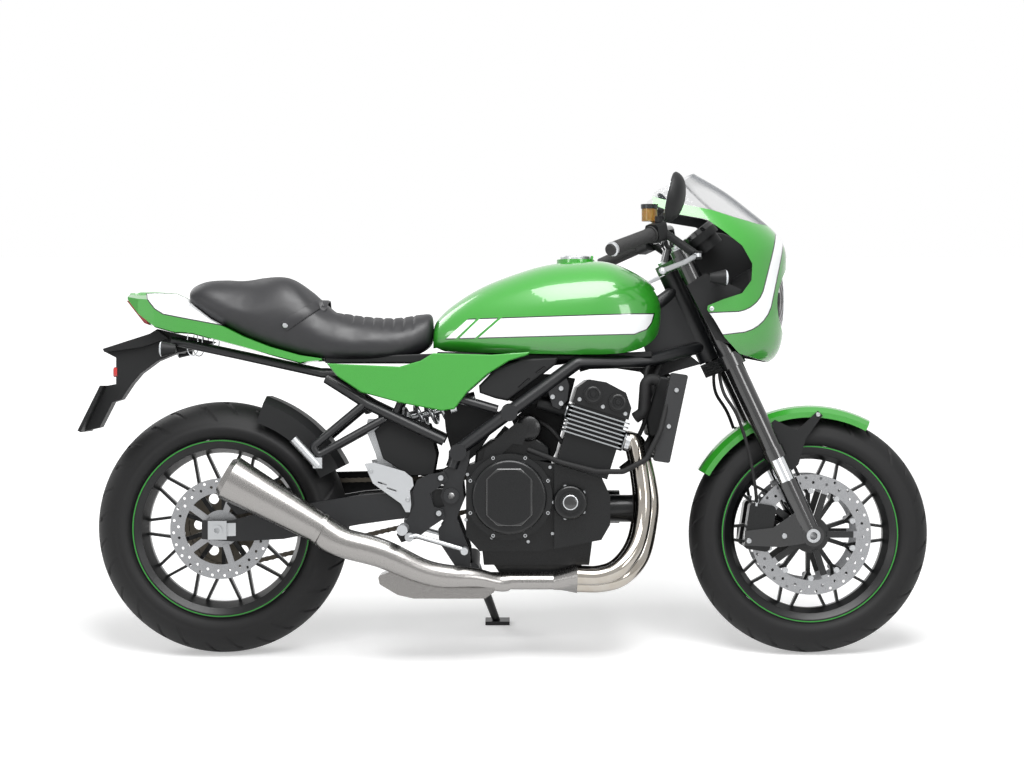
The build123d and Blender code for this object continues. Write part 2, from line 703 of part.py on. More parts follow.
# Chassis
def frame():
    """The tubular frame: head tube, main tubes down to the swingarm pivot, and its pivot plates."""
    head = rod(on_stem(LOWER_CLAMP_AT + CLAMP_THICKNESS + 2), on_stem(UPPER_CLAMP_AT - 2), HEAD_TUBE_RADIUS)
    low, high = on_stem(LOWER_CLAMP_AT + 74), on_stem(UPPER_CLAMP_AT - 46)
    main = bent_tube(
        [(low.X - 6, 12, low.Z), (330, 84, 733), (153, 128, 729), (-17, 136, 605), (-143, 130, 512), (-158, 128, 470)],
        TUBE_RADIUS,
        22,
    )
    brace = bent_tube([(high.X, 10, high.Z), (300, 40, 838), (120, 52, 742), (-90, 60, 716)], TUBE_RADIUS, 22)
    gusset = side_plate(
        [(low.X, low.Z - 14), (400, 752), (330, 748), (304, 836), (high.X - 8, high.Z - 8)], 20, 25
    )
    cross = across(-90, 716, TUBE_RADIUS, 0, 60) + across(-17, 605, 12, 0, 136)
    knots = across(-17, 605, 21, 118, 156) + across(-143, 507, 21, 112, 150)
    side = main + brace + gusset + cross + knots + side_plate(PIVOT_PLATE, PLATE_IN, PLATE_OUT)
    side += across(-130, 242, 13, 0, PLATE_IN + 4) + hanger()
    whole = head + both_sides(side) + stand_bracket()
    whole -= rod(on_stem(LOWER_CLAMP_AT - 20), on_stem(UPPER_CLAMP_AT + 80), STEM_RADIUS + FIT)
    return whole - across(PIVOT_X, PIVOT_Z, 12, -300, 300)


# The plate that joins the main tube to the swingarm's pivot, in at its waist above and below it
PIVOT_PLATE = (
    (-166, 512), (-168, 468), (-196, 454), (-198, 436), (-178, 426), (-187, 400), (-176, 374), (-202, 368),
    (-202, 349), (-176, 338), (-192, 318), (-190, 286),
    (-150, 226), (-112, 226), (-114, 262), (-146, 346), (-128, 390), (-132, 428), (-118, 479), (-114, 512),
)
HANGER = (
    (-176, 460), (-168, 440), (-212, 406), (-202, 374), (-180, 368), (-176, 346), (-206, 326),
    (-240, 300), (-282, 286), (-294, 306), (-264, 350), (-250, 380), (-254, 414), (-244, 440), (-214, 454),
)
HANGER_Y = ARM_OUT + 2


def hanger():
    """The plate behind the pivot that carries the footrest, on two bosses of the pivot plate."""
    plate = side_plate(HANGER, HANGER_Y, HANGER_Y + 6)
    for x, z in ((-185, 445), (-190, 358)):
        plate += across(x, z, 9, PLATE_OUT - 2, HANGER_Y + 8)
    return plate


def rear_frame():
    """The seat rails, the stays under the tail, and the loops for the passenger's footrests."""
    rail = bent_tube([(-120, 118, 690), (-300, 112, 700), (-480, 92, 702), (-690, 72, 748), (-860, 56, 784)], 11, 30)
    stay = bent_tube([(-178, 124, 535), (-364, 124, 624), (-470, 100, 690)], STAY_RADIUS, 30)
    upright = rod((-300, 118, 600), (-260, 115, 696), 8)
    cross = across(-480, 702, 9, 0, 92) + across(-850, 782, 8, 0, 57) + across(-120, 690, 10, 0, 118)
    link = rod((-120, 118, 690), (-138, 124, 636), 10) + rod((-142, 124, 640), (-47, 130, 612), 10)
    loop = bent_tube([(-376, 122, 626), (-500, 146, 522), (-488, 146, 500), (-326, 122, 590)], 10, 9)
    return both_sides(rail + stay + upright + cross + link + loop)


def pivot_shaft():
    """The hollow shaft that the swingarm turns on."""
    shaft = across(PIVOT_X, PIVOT_Z, 12, -PLATE_OUT - 4, PLATE_OUT + 4)
    shaft += across(PIVOT_X, PIVOT_Z, 19, -PLATE_OUT - 8, -PLATE_OUT - SEAT_GAP)
    return shaft - across(PIVOT_X, PIVOT_Z, PIVOT_BORE_RADIUS, -300, 300)


ARM_OUTLINE = (
    (-206, 416),
    (-300, 408),
    (-386, 402),
    (REAR_AXLE.X + 135, REAR_AXLE.Z + 50),
    (REAR_AXLE.X + 35, REAR_AXLE.Z + 24),
    (REAR_AXLE.X - 39, REAR_AXLE.Z + 24),
    (REAR_AXLE.X - 39, REAR_AXLE.Z - 22),
    (REAR_AXLE.X + 35, REAR_AXLE.Z - 28),
    (REAR_AXLE.X + 162, REAR_AXLE.Z - 22),
    (-386, 330),
    (-300, 342),
    (-206, 352),
)
BRIDGE_BACK = REAR_AXLE.X + REAR_TYRE_RADIUS + 25


def swingarm():
    """The swingarm: a pivot tube, a bridge ahead of the tyre, and an arm each side of the wheel."""
    beam = side_plate(ARM_OUTLINE, ARM_IN, ARM_OUT)
    inner = [(-152, 416), (-206, 416), (-280, 410), (-280, 345), (-206, 352), (-152, 384)]
    root = side_plate(inner, 60, PLATE_IN - 4) + side_plate(inner[1:5], PLATE_IN - 5, ARM_IN + 1)
    bridge = side_plate([(-250, 410), (BRIDGE_BACK, 398), (BRIDGE_BACK, 340), (-250, 349)], 0, 62)
    whole = both_sides(beam + root + bridge)
    whole += across(PIVOT_X, PIVOT_Z, PIVOT_RADIUS, -PLATE_IN + 2, PLATE_IN - 2)
    whole -= across(PIVOT_X, PIVOT_Z, 12, -300, 300)
    return whole - across(REAR_AXLE.X, REAR_AXLE.Z, AXLE_RADIUS, -300, 300)


def rear_axle():
    """The rear axle with its adjuster blocks."""
    half = ARM_OUT + 16
    shaft = across(REAR_AXLE.X, REAR_AXLE.Z, AXLE_RADIUS, -half, half)
    for low, high in ((-ARM_OUT - 9, -ARM_OUT - SEAT_GAP), (ARM_OUT + SEAT_GAP, ARM_OUT + 9)):
        shaft += Pos(REAR_AXLE.X, (low + high) / 2, REAR_AXLE.Z) * Box(46, high - low, 46)
    return shaft - across(REAR_AXLE.X, REAR_AXLE.Z, 7, -300, 300)


def shock():
    """The rear shock lying ahead of the tyre: body, rod, coil spring and the link under it."""
    rear, front = Vector(-352, 0, 566), Vector(-100, 0, 634)
    way = front - rear
    body = rod(rear, rear + way * 0.42, 17) + rod(rear + way * 0.4, rear + way * 0.86, 9)
    body += rod(rear + way * 0.82, front, 24)
    body += rod(rear + way * 0.05, rear + way * 0.1, 33) + rod(rear + way * 0.74, rear + way * 0.8, 33)
    plane = Plane(origin=rear + way * 0.1, z_dir=way)
    coil = Helix(pitch=way.length * 0.64 / 6, height=way.length * 0.64, radius=27)
    wire = sweep(Plane(origin=coil @ 0, z_dir=coil % 0) * Circle(5.5), path=coil, is_frenet=True)
    plate = [(-372, 588), (-340, 588), (-318, 560), (-322, 500), (-290, 425), (-290, 407.2), (-330, 404), (-352, 500), (-376, 560)]
    link = both_sides(side_plate(plate, 24, 32)) + across(-352, 566, 8, -32, 32)
    return body + plane * wire + link


# Engine
def in_engine(fore, y, up):
    """A point in the cylinders' tilted frame: fore along the fins, up along the bores."""
    t = radians(ENGINE_TILT)
    return Vector(CYLINDER_X + fore * cos(t) + up * sin(t), y, CYLINDER_Z - fore * sin(t) + up * cos(t))


def engine_block(fore_low, fore_high, half_width, up_low, up_high):
    """A box in the cylinders' tilted frame."""
    centre = in_engine((fore_low + fore_high) / 2, 0, (up_low + up_high) / 2)
    return Pos(centre) * Rot(0, ENGINE_TILT, 0) * Box(fore_high - fore_low, 2 * half_width, up_high - up_low)


FIN_STACK = FIN_COUNT * FIN_PITCH


def cylinders():
    """The cylinder block with its cooling fins and ports, down to the crankcase."""
    half = CYLINDER_DEPTH / 2
    block = engine_block(-half + 12, half - 12, CYLINDER_HALF_WIDTH - 12, -118, FIN_STACK / 2)
    for n in range(FIN_COUNT):
        up = -FIN_STACK / 2 + n * FIN_PITCH
        fin = engine_block(-half, half, CYLINDER_HALF_WIDTH, up, up + FIN_THICKNESS)
        block += fillet(fin.edges().filter_by(lambda e: e.length < 2 * FIN_THICKNESS), 14)
    for n in range(4):
        y = (n - 1.5) * PORT_PITCH
        block += rod(in_engine(half - 14, y, -16), in_engine(half + 2, y, -16), 26)
        inlet = (n - 1.5) * INLET_PITCH
        block += rod(in_engine(14 - half, inlet, 12), in_engine(-half - 2, inlet, 12), 20)
    return block


def head_cover():
    """The cam cover with its round ends over the two camshafts."""
    half = CYLINDER_DEPTH / 2
    base = FIN_STACK / 2
    outline = [
        (-half + 6, base),
        (-half + 6, base + 38),
        (-half + 26, base + 66),
        (-8, base + 72),
        (half - 32, base + 62),
        (half - 8, base + 30),
        (half - 6, base),
    ]
    points = [(in_engine(fore, 0, up).X, in_engine(fore, 0, up).Z) for fore, up in outline]
    cover = side_plate(points, -CYLINDER_HALF_WIDTH + 8, CYLINDER_HALF_WIDTH - 8)
    cover = fillet(cover.edges().filter_by(Axis.Y).group_by(Axis.Z)[-1], 12)
    for fore in (-30, 34):
        for side in (-1, 1):
            boss = in_engine(fore, side * (CYLINDER_HALF_WIDTH - 10), base + 34)
            cover += across(boss.X, boss.Z, 23, *sorted((boss.Y, boss.Y + side * 12)))
    return cover


def crankcase():
    """The crankcase: wide around the crankshaft, narrow around the gearbox, open for the chain."""
    front = [(212, 444), (232, 400), (232, 330), (210, 292), (94, 270), (94, 480)]
    wider = [(212, 444), (232, 400), (232, 330), (210, 292), (48, 262), (48, 488)]
    rear = [(-124, 470), (-60, 500), (40, 488), (96, 478), (96, 270), (60, 262), (-90, 262), (-124, 300)]
    case = side_plate(rear, -GEARBOX_HALF_WIDTH, GEARBOX_HALF_WIDTH)
    case += side_plate(front, -CRANK_HALF_WIDTH, 0) + side_plate(wider, 0, CRANK_HALF_WIDTH)
    pocket = [(-200, 460), (-60, 460), (-28, 430), (-28, 360), (-60, 326), (-200, 326)]
    case -= side_plate(pocket, CHAIN_Y - CHAIN_WIDTH / 2 - CLEAR, 200)
    case += across(SPROCKET_X, SPROCKET_Z, 14, 60, CHAIN_Y - 4)
    arm = [(-84, 482), (-76, 518), (-60, 530), (0, 580), (14, 578), (110, 552), (108, 530), (40, 522), (-8, 528), (-36, 502), (-30, 482)]
    case += side_plate(arm, -GEARBOX_HALF_WIDTH, 14 - GEARBOX_HALF_WIDTH)
    case -= side_plate([(-200, 420), (-130, 430), (-128, 372), (-200, 376)], -200, 200)
    return case - engine_block(-CYLINDER_DEPTH, CYLINDER_DEPTH, CYLINDER_HALF_WIDTH + 20, -118, 300)


def front_sprocket():
    """The driving sprocket in the chain's front bend."""
    pitch_radius = sprocket_radius(FRONT_TEETH)
    return across(SPROCKET_X, SPROCKET_Z, pitch_radius - 5.5, CHAIN_Y - 3.5, CHAIN_Y + 3.5)


def sump():
    """The oil pan under the crankcase, and the filter and cooler in front of it."""
    pan = side_plate([(-84, 262), (60, 262), (94, 270), (190, 288), (182, 226), (-80, 226)], -84, 84)
    pan += side_plate([(-60, 230), (170, 230), (150, 200), (-40, 200)], -34, 74)
    return pan + rod((232.3, -46, 365), (292, -46, 365), 34) + rod((232.3, 46, 365), (262, 46, 365), 42)


def right_covers():
    """The clutch cover with its raised, flat-sided face, and the small cover over the crankshaft's end."""
    base = -GEARBOX_HALF_WIDTH - SEAT_GAP
    ring = across(CLUTCH_X, CLUTCH_Z, 106, base - 56, base)
    ring += across(CLUTCH_X, CLUTCH_Z, 92, base - 74, base - 56)
    ring = fillet(ring.edges().sort_by(Axis.Y)[0], 8)
    face = across(CLUTCH_X, CLUTCH_Z, 68, base - 84, base - 74)
    cover = ring + (face & Pos(CLUTCH_X, base - 79, CLUTCH_Z) * Box(104, 20, 140))
    for n in range(8):
        a = radians(45 * n + 22.5)
        cover += across(CLUTCH_X + 103 * cos(a), CLUTCH_Z + 103 * sin(a), 8, base - 52, base)
    end = -CRANK_HALF_WIDTH - SEAT_GAP
    small = across(CRANK_X, CRANK_Z, 42, end - 36, end)
    small = fillet(small.edges().sort_by(Axis.Y)[0], 8)
    small += across(CRANK_X, CRANK_Z, 26, end - 42, end - 36)
    for n in range(5):
        a = radians(72 * n + 36)
        small += across(CRANK_X + 41 * cos(a), CRANK_Z + 41 * sin(a), 7, end - 20, end)
    return cover + small


def left_covers():
    """The round cover over the alternator and the cover over the gearbox sprocket."""
    start = CRANK_HALF_WIDTH + SEAT_GAP
    round_cover = across(CRANK_X, CRANK_Z, 76, start, start + 52)
    round_cover = fillet(round_cover.edges().sort_by(Axis.Y)[-1], 12)
    round_cover += across(CRANK_X, CRANK_Z, 40, start + 52, start + 60)
    outline = [(-108, 446), (-60, 470), (36, 462), (46, 420), (46, 330), (-20, 300), (-108, 316)]
    cover = side_plate(outline, GEARBOX_HALF_WIDTH + SEAT_GAP, GEARBOX_HALF_WIDTH + 32)
    return round_cover + fillet(cover.edges().filter_by(Axis.Y), 8)


def airbox():
    """The airbox with its slotted side panels, and the throttle bodies that lead into the cylinders."""
    box = side_plate([(-10, 704), (-62, 690), (-58, 648), (10, 626), (72, 626), (96, 700)], -PANEL_IN - 2, PANEL_IN + 2)
    panel = side_plate(PANEL_OUTLINE, PANEL_IN, PANEL_OUT)
    panel = fillet(panel.edges().group_by(Axis.Y)[-1], 7)
    for start, end in (((6, 666), (33, 690)), ((49, 703), (72, 719))):
        a, b = Vector(start[0], PANEL_OUT, start[1]), Vector(end[0], PANEL_OUT, end[1])
        panel -= rod(a, b, 3)
    half = CYLINDER_DEPTH / 2
    for n in range(4):
        y = (n - 1.5) * INLET_PITCH
        box += rod(in_engine(-half - 2 - SEAT_GAP, y, 12), in_engine(-half - 74, y, 12), 17)
    return box + both_sides(panel)


# The panel between the side cover and the main tube
PANEL_IN = 92.0
PANEL_OUT = 130.0
PANEL_OUTLINE = ((-92, 672), (-54, 712), (20, 739), (106, 744), (98, 724), (72, 704), (-20, 634), (-50, 640), (-90, 654))


RADIATOR_TOP = (418.0, 690.0)
RADIATOR_FOOT = (372.0, 492.0)


def radiator():
    """The radiator: a core between side tanks, leaning with the front wheel's arc."""
    (x1, z1), (x0, z0) = RADIATOR_TOP, RADIATOR_FOOT
    core = side_plate([(x0, z0), (x1, z1), (x1 - 28, z1 + 6), (x0 - 28, z0 + 6)], -150, 150)
    tank = side_plate([(x0 + 4, z0 - 10), (x1 + 4, z1 + 8), (x1 - 38, z1 + 14), (x0 - 36, z0 - 4)], 150, 186)
    tank = fillet(tank.edges().filter_by(Axis.Y), 6)
    return core + both_sides(tank)


def headers():
    """The four exhaust pipes: out of the head, down ahead of the engine, and back side by side.

    Every second pipe runs further forward and lower, so that each two end up one above the other.
    """
    pipes = []
    half = CYLINDER_DEPTH / 2
    for n in range(4):
        y, foot = (n - 1.5) * PORT_PITCH, header_foot(n)
        port = in_engine(half + 2 + SEAT_GAP, y, -16)
        knee = in_engine(half + 2 + SEAT_GAP + (40 if n % 2 else 27), y, -16)
        if n % 2:
            bends = [(336, 400), (330, 318), (308, 246), (262, 200), (210, 184)]
        else:
            bends = [(314, 410), (310, 332), (290, 270), (250, 224), (204, 206)]
        shares = (0.04, 0.3, 0.7, 1, 1)
        path = [(x, y + (foot.Y - y) * share, z) for (x, z), share in zip(bends, shares)]
        pipes.append(bent_tube([port, knee, *path, foot], HEADER_RADIUS, 32))
    return Compound(children=pipes)


def header_foot(n):
    """The end of the nth pipe, at the collector."""
    return Vector(150, -HEADER_FEET - HEADER_PITCH * (3 - n), 184 if n % 2 else 206)


def collector():
    """The collector: two pairs of pipes merge, and the right one grows into the muffler's bent pipe."""
    whole = None
    for n, y in ((0, -168), (2, -112)):
        a, b = header_foot(n), header_foot(n + 1)
        middle = (a + b) / 2 - Vector(SEAT_GAP, 0, 0)
        wide = Plane(origin=middle, x_dir=b - a, z_dir=(-1, 0, 0))
        grip = HEADER_RADIUS + 2.5
        mouth = wide * RectangleRounded((b - a).length + 2 * grip, 2 * grip, grip - 0.1)
        slim = Plane(origin=(92, y, 191), x_dir=b - a, z_dir=(-1, 0, 0))
        pipe = loft([mouth, slim * Circle(HEADER_RADIUS)])
        pipe += rod((96, y, 191), (-17 if n == 0 else -70, y, 191), 19.5)
        whole = pipe if whole is None else whole + pipe
    centres = [(-14, -168, 191), (-72, -178, 195), (-129, -190, 203), (-228, -205, 219), (-278, -210, 241), (-331, -212, 264)]
    centres = [Vector(*c) for c in centres] + [Vector(*MUFFLER_FRONT) - muffler_way() * 70, Vector(*MUFFLER_FRONT)]
    radii = (21, 23, 27, 31, 33.5, 35.5, MUFFLER_NECK, MUFFLER_NECK)
    sections = []
    for n, (centre, radius) in enumerate(zip(centres, radii)):
        way = centres[min(n + 1, len(centres) - 1)] - centres[max(n - 1, 0)]
        sections.append(Plane(origin=centre, x_dir=(0, 1, 0), z_dir=way) * Circle(radius))
    outline = [(-52, 168), (-76, 151), (-250, 151), (-290, 160), (-334, 186), (-338, 206), (-310, 216), (-60, 206)]
    chamber = fillet(side_plate(outline, -192, -88).edges().filter_by(Axis.Y), 7)
    return whole + loft(sections) + chamber


MUFFLER_FRONT = (-472.0, MUFFLER_Y, 320.0)
MUFFLER_REAR = (-698.0, MUFFLER_Y, 447.0)
MUFFLER_NECK = 36.5
MUFFLER_RADIUS = 56.0


def muffler_way():
    return (Vector(*MUFFLER_REAR) - Vector(*MUFFLER_FRONT)).normalized()


def muffler():
    """The brushed muffler, wider towards its open end, with a band at its neck."""
    rear, front, way = Vector(*MUFFLER_REAR), Vector(*MUFFLER_FRONT), muffler_way()
    can = rod(front + way * SEAT_GAP, rear, MUFFLER_NECK, MUFFLER_RADIUS)
    can += rod(front + way * SEAT_GAP, front + way * 12, MUFFLER_NECK + 3)
    can += rod(rear, rear + way * 14, MUFFLER_RADIUS, MUFFLER_RADIUS - 12)
    return can - rod(rear - way * 130, rear + way * 30, MUFFLER_RADIUS - 22)


def side_covers():
    """The side panels under the seat, with their outer edges rounded."""
    outline = [
        (34, 755), (30, 748), (-17, 733), (-69, 701), (-120, 656), (-152, 614), (-184, 610), (-287, 630),
        (-383, 656), (-441, 695), (-467, 727), (-287, 719), (-236, 733), (-204, 752), (-60, 748),
    ]
    panel = side_plate(outline, 138, 149)
    return both_sides(chamfer(panel.edges().group_by(Axis.Y)[-1], 2.5))


def hugger_and_guard():
    """The mudguard close over the rear tyre, the guard over the chain, and the tray under the seat."""
    half, wall = 99.0, 3.5
    crown = REAR_TYRE_RADIUS + 34
    low = crown - 70
    profile = [
        (low, half), (crown - 18, half), (crown, half - 26),
        (crown, 26 - half), (crown - 18, -half), (low, -half),
        (low, wall - half), (crown - 19, wall - half), (crown - wall, 28 - half),
        (crown - wall, half - 28), (crown - 19, half - wall), (low, half - wall),
    ]
    guard = ring_of(profile, REAR_AXLE, arc=44, start=27)
    outline = [(-250, 453), (-560, 446), (-610, 420), (-610, 372), (-556, 374), (-500, 384), (-386, 403), (-250, 414)]
    cover = side_plate(outline, ARM_IN - 3, ARM_IN - SEAT_GAP)
    cover += side_plate([(-250, 453), (-560, 446), (-560, 449), (-250, 456)], 92, ARM_IN - 3)
    tray = side_plate(TRAY, -76, 76) - across(-480, 702, 9 + SEAT_GAP, -100, 100)
    return guard + cover + tray


TRAY = ((-492, 716), (-470, 716), (-420, 690), (-384, 646), (-366, 604), (-374, 600), (-402, 634), (-438, 670), (-492, 700))


def plate_carrier():
    """The carrier under the tail: its body with a swept fin, its arm, and the number-plate holder."""
    outline = [
        (-757, 782), (-840, 799), (-900, 814), (-916, 802), (-1034, 764), (-1030, 756), (-1003, 742),
        (-1003, 676), (-1029, 671), (-1043, 642), (-1084, 557), (-1044, 567), (-1012, 630), (-990, 637),
        (-964, 676), (-942, 702), (-900, 733), (-850, 754), (-780, 768),
    ]
    arm = side_plate(outline, -31, 31)
    wide = side_plate([(-900, 812), (-916, 802), (-1034, 764), (-1030, 756), (-940, 768), (-870, 790)], -48, 48)
    holder = side_plate([(-1026, 672), (-1034, 672), (-1090, 560), (-1082, 556)], -92, 92)
    return arm + wide + holder - across(-850, 782, 8 + SEAT_GAP, -60, 60)


LAMP_OUTLINE = ((-972, 884), (-928, 828), (-915, 823), (-958, 884))


def tail_lamp():
    """The tail lamp: a slanted strip across the cowl's end."""
    return side_plate(LAMP_OUTLINE, -62, 62)


def rear_signals():
    """The turn signals beside the plate carrier."""
    x, y, z = -870, 168, 762
    lamp = loft([Plane(origin=(x, y, z), z_dir=(-1, 0, 0)) * Circle(19), Plane(origin=(x + 34, y, z), z_dir=(-1, 0, 0)) * Circle(11)])
    lamp += rod((x + 14, 34, z), (x + 14, y, z), 8)
    return both_sides(lamp)


def footrests():
    """The rider's pegs and heel guards on their hangers, and the folded passenger's pegs."""
    y = HANGER_Y + 6 + SEAT_GAP
    side = side_plate(HEEL_GUARD, y, y + 5)
    for start, end in (((-340, 433), (-318, 426)), ((-318, 419), (-294, 411))):
        side -= rod((start[0], y - 2, start[1]), (end[0], y - 2, end[1]), 2.4)
        side -= side_plate([start, end, (end[0], end[1] + 4), (start[0], start[1] + 4)], y - 1, y + 6)
    peg = across(-276, 322, 13, y, 262)
    folded = Pos(-488, 151, 482) * Box(22, 22, 26) + rod((-487, 153, 474), (-548, 160, 541), 11)
    return both_sides(side + folded) + both_sides(peg)


HEEL_GUARD = (
    (-373, 480), (-349, 483), (-274, 461), (-255, 445), (-252, 426), (-261, 414),
    (-258, 379), (-261, 361), (-271, 361), (-283, 382), (-318, 407), (-352, 432),
)


def foot_levers():
    """The brake pedal on the right and the gear lever on the left."""
    side = bent_tube([(-248, 172, 304), (-190, 178, 288), (-128, 184, 270)], 6, 20)
    side += across(-126, 269, 9, 176, 232)
    side += across(-262, 300, 11, HANGER_Y + 6 + SEAT_GAP, 178) + rod((-262, 172, 300), (-244, 172, 303), 7)
    return both_sides(side)


def hoses():
    """The thin hose that sweeps from the radiator under the fins, and the wide one to the head."""
    thin = bent_tube(
        [(382, -168, 676), (352, -196, 560), (318, -202, 492), (262, -202, 462), (196, -202, 462), (110, -194, 484), (30, -150, 514)],
        6.5,
        24,
    )
    wide = bent_tube([(350, -128, 684), (320, -132, 692), (314, -132, 606), (294, -126, 592)], 14, 18)
    return thin + wide


def fuel_tank():
    """The teardrop tank, with a tunnel for the frame and a flat seat for the cap."""
    stations = (
        (-206, 764, 800, 62, 0.6, 0.4),
        (-188, 760, 848, 96, 0.6, 0.4),
        (-150, 757, 880, 112, 0.6, 0.42),
        (-90, 754, 917, 130, 0.6, 0.42),
        (-10, 752, 950, 150, 0.6, 0.42),
        (80, 750, 976, 166, 0.6, 0.44),
        (160, 749, 984, 174, 0.6, 0.46),
        (230, 750, 982, 172, 0.6, 0.48),
        (290, 758, 960, 158, 0.6, 0.5),
        (330, 776, 936, 132, 0.6, 0.5),
        (356, 806, 904, 92, 0.6, 0.5),
        (366, 838, 880, 44, 0.6, 0.5),
    )
    tank = loft([rounded_section(*s) for s in stations])
    tank += cap_seat()
    tunnel = side_plate([(-240, 700), (-240, 760), (60, 800), (260, 880), (400, 930), (400, 700)], -80, 80)
    return tank - tunnel


def cap_seat():
    """The round seat on the tank for its cap, with the two ears of the cap's hinge."""
    seat_top = Pos(CAP_X, 0, CAP_Z - 30) * Cylinder(CAP_RADIUS + 10, 30, align=(Align.CENTER, Align.CENTER, Align.MIN))
    for low, high in ((-14, -8 - SEAT_GAP), (8 + SEAT_GAP, 14)):
        seat_top += Pos(CAP_HINGE[0], (low + high) / 2, CAP_Z + 3.5) * Box(6, high - low, 11)
    return seat_top


CAP_HINGE = (CAP_X + CAP_RADIUS + 3.0, 0.0, CAP_Z + 5.0)


def fuel_cap():
    """The hinged filler cap with its knuckle."""
    lid = Pos(CAP_X, 0, CAP_Z + SEAT_GAP) * Cylinder(CAP_RADIUS, 8, align=(Align.CENTER, Align.CENTER, Align.MIN))
    lid = fillet(lid.edges().group_by(Axis.Z)[-1], 2.5)
    for y in (-12, 12):
        lid -= Pos(CAP_HINGE[0], y, CAP_Z) * Box(2 * EAR_REACH, 8, 40)
    return lid + across(CAP_HINGE[0], CAP_HINGE[2], 4, -8, 8)


# How far the lid's edge stays from its hinge beside the ears
EAR_REACH = 7.5


def seat():
    """The stepped seat: a scooped rider's part and a raised pillion part."""
    stations = (
        (-208, 776, 852, 78, 0.66, 0.45),
        (-250, 748, 843, 104, 0.66, 0.45),
        (-329, 735, 834, 126, 0.66, 0.45),
        (-410, 734, 842, 134, 0.66, 0.45),
        (-470, 736, 864, 134, 0.66, 0.45),
        (-520, 742, 908, 130, 0.66, 0.45),
        (-572, 756, 943, 124, 0.66, 0.42),
        (-640, 778, 936, 116, 0.66, 0.42),
        (-720, 816, 931, 106, 0.66, 0.42),
        (-790, 860, 930, 90, 0.66, 0.42),
        (-818, 884, 914, 70, 0.66, 0.45),
    )
    cushion = loft([rounded_section(*s) for s in stations])
    return cushion - Pos(0, 0, SEAT_GAP) * tail_body()


def tail_body():
    """The ducktail's form: flat sides, a shoulder, and a low hump, which rise together into a lip."""
    stations = (
        (-480, 732, 739, 741, 742, 128),
        (-535, 727, 747, 750, 752, 127),
        (-610, 747, 768, 772, 775, 122),
        (-675, 765, 793, 798, 801, 117),
        (-757, 787, 834, 840, 844, 108),
        (-806, 800, 868, 878, 882, 102),
        (-850, 803, 880, 898, 903, 97),
        (-900, 817, 885, 899, 906, 91),
        (-940, 848, 888, 898, 906, 85),
        (-968, 884, 893, 900, 904, 72),
    )
    sections = []
    for x, foot, edge, hump, crown, half in stations:
        plane = Plane(origin=(x, 0, 0), x_dir=(0, 1, 0), z_dir=(1, 0, 0))
        right = [(half * 0.8, foot), (half, foot + 3), (half, edge), (half * 0.5, hump), (half * 0.34, crown)]
        left = [(-y, z) for y, z in reversed(right)]
        sections.append(plane * make_face(Polyline(*right, *left, close=True)))
    return loft(sections, ruled=True)


def tail_cowl():
    """The ducktail with the notch for its lamp."""
    around_lamp = [(x - 20, z) if n in (0, 1) else (x + SEAT_GAP, z) for n, (x, z) in enumerate(LAMP_OUTLINE)]
    return tail_body() - side_plate(around_lamp, -62 - SEAT_GAP, 62 + SEAT_GAP)


def side_stand():
    """The side stand: an eye on its bolt, a tapered leg and a foot flat on the road."""
    pivot = Vector(*STAND_PIVOT)
    foot = stand_foot()
    leg = rod(pivot, foot + (pivot - foot) * 0.04, 14, 10)
    leg += rod(pivot - STAND_AXIS * 14, pivot + STAND_AXIS * 14, 20)
    pad = to_upright(Pos(0, 0, 5) * Box(64, 46, 10), foot)
    return leg + pad - rod(pivot - STAND_AXIS * 60, pivot + STAND_AXIS * 60, 8 + FIT)


def stand_foot():
    """The middle of the foot's sole, on the leaned road, in the upright bike."""
    x, y = STAND_FOOT
    return Vector(x, y, y * tan(radians(LEAN)))


def to_upright(shape, spot):
    """A shape drawn on the leaned road, moved to a spot of the upright bike."""
    return Pos(spot) * Rot(LEAN, 0, 0) * shape


def stand_axis():
    """The axis that swings the leg from its parked direction to one along the bike."""
    down = (stand_foot() - Vector(*STAND_PIVOT)).normalized()
    back = Vector(-0.97, 0.10, -0.10).normalized()
    return down.cross(back).normalized()


STAND_AXIS = stand_axis()


def stand_bracket():
    """The lug on the frame with the stand's bolt."""
    pivot = Vector(*STAND_PIVOT)
    bolt = rod(pivot - STAND_AXIS * 46, pivot + STAND_AXIS * 20, 8) + rod(pivot + STAND_AXIS * 15, pivot + STAND_AXIS * 22, 13)
    ear = rod(pivot - STAND_AXIS * 46, pivot - STAND_AXIS * (14 + SEAT_GAP), 20)
    return ear + bolt


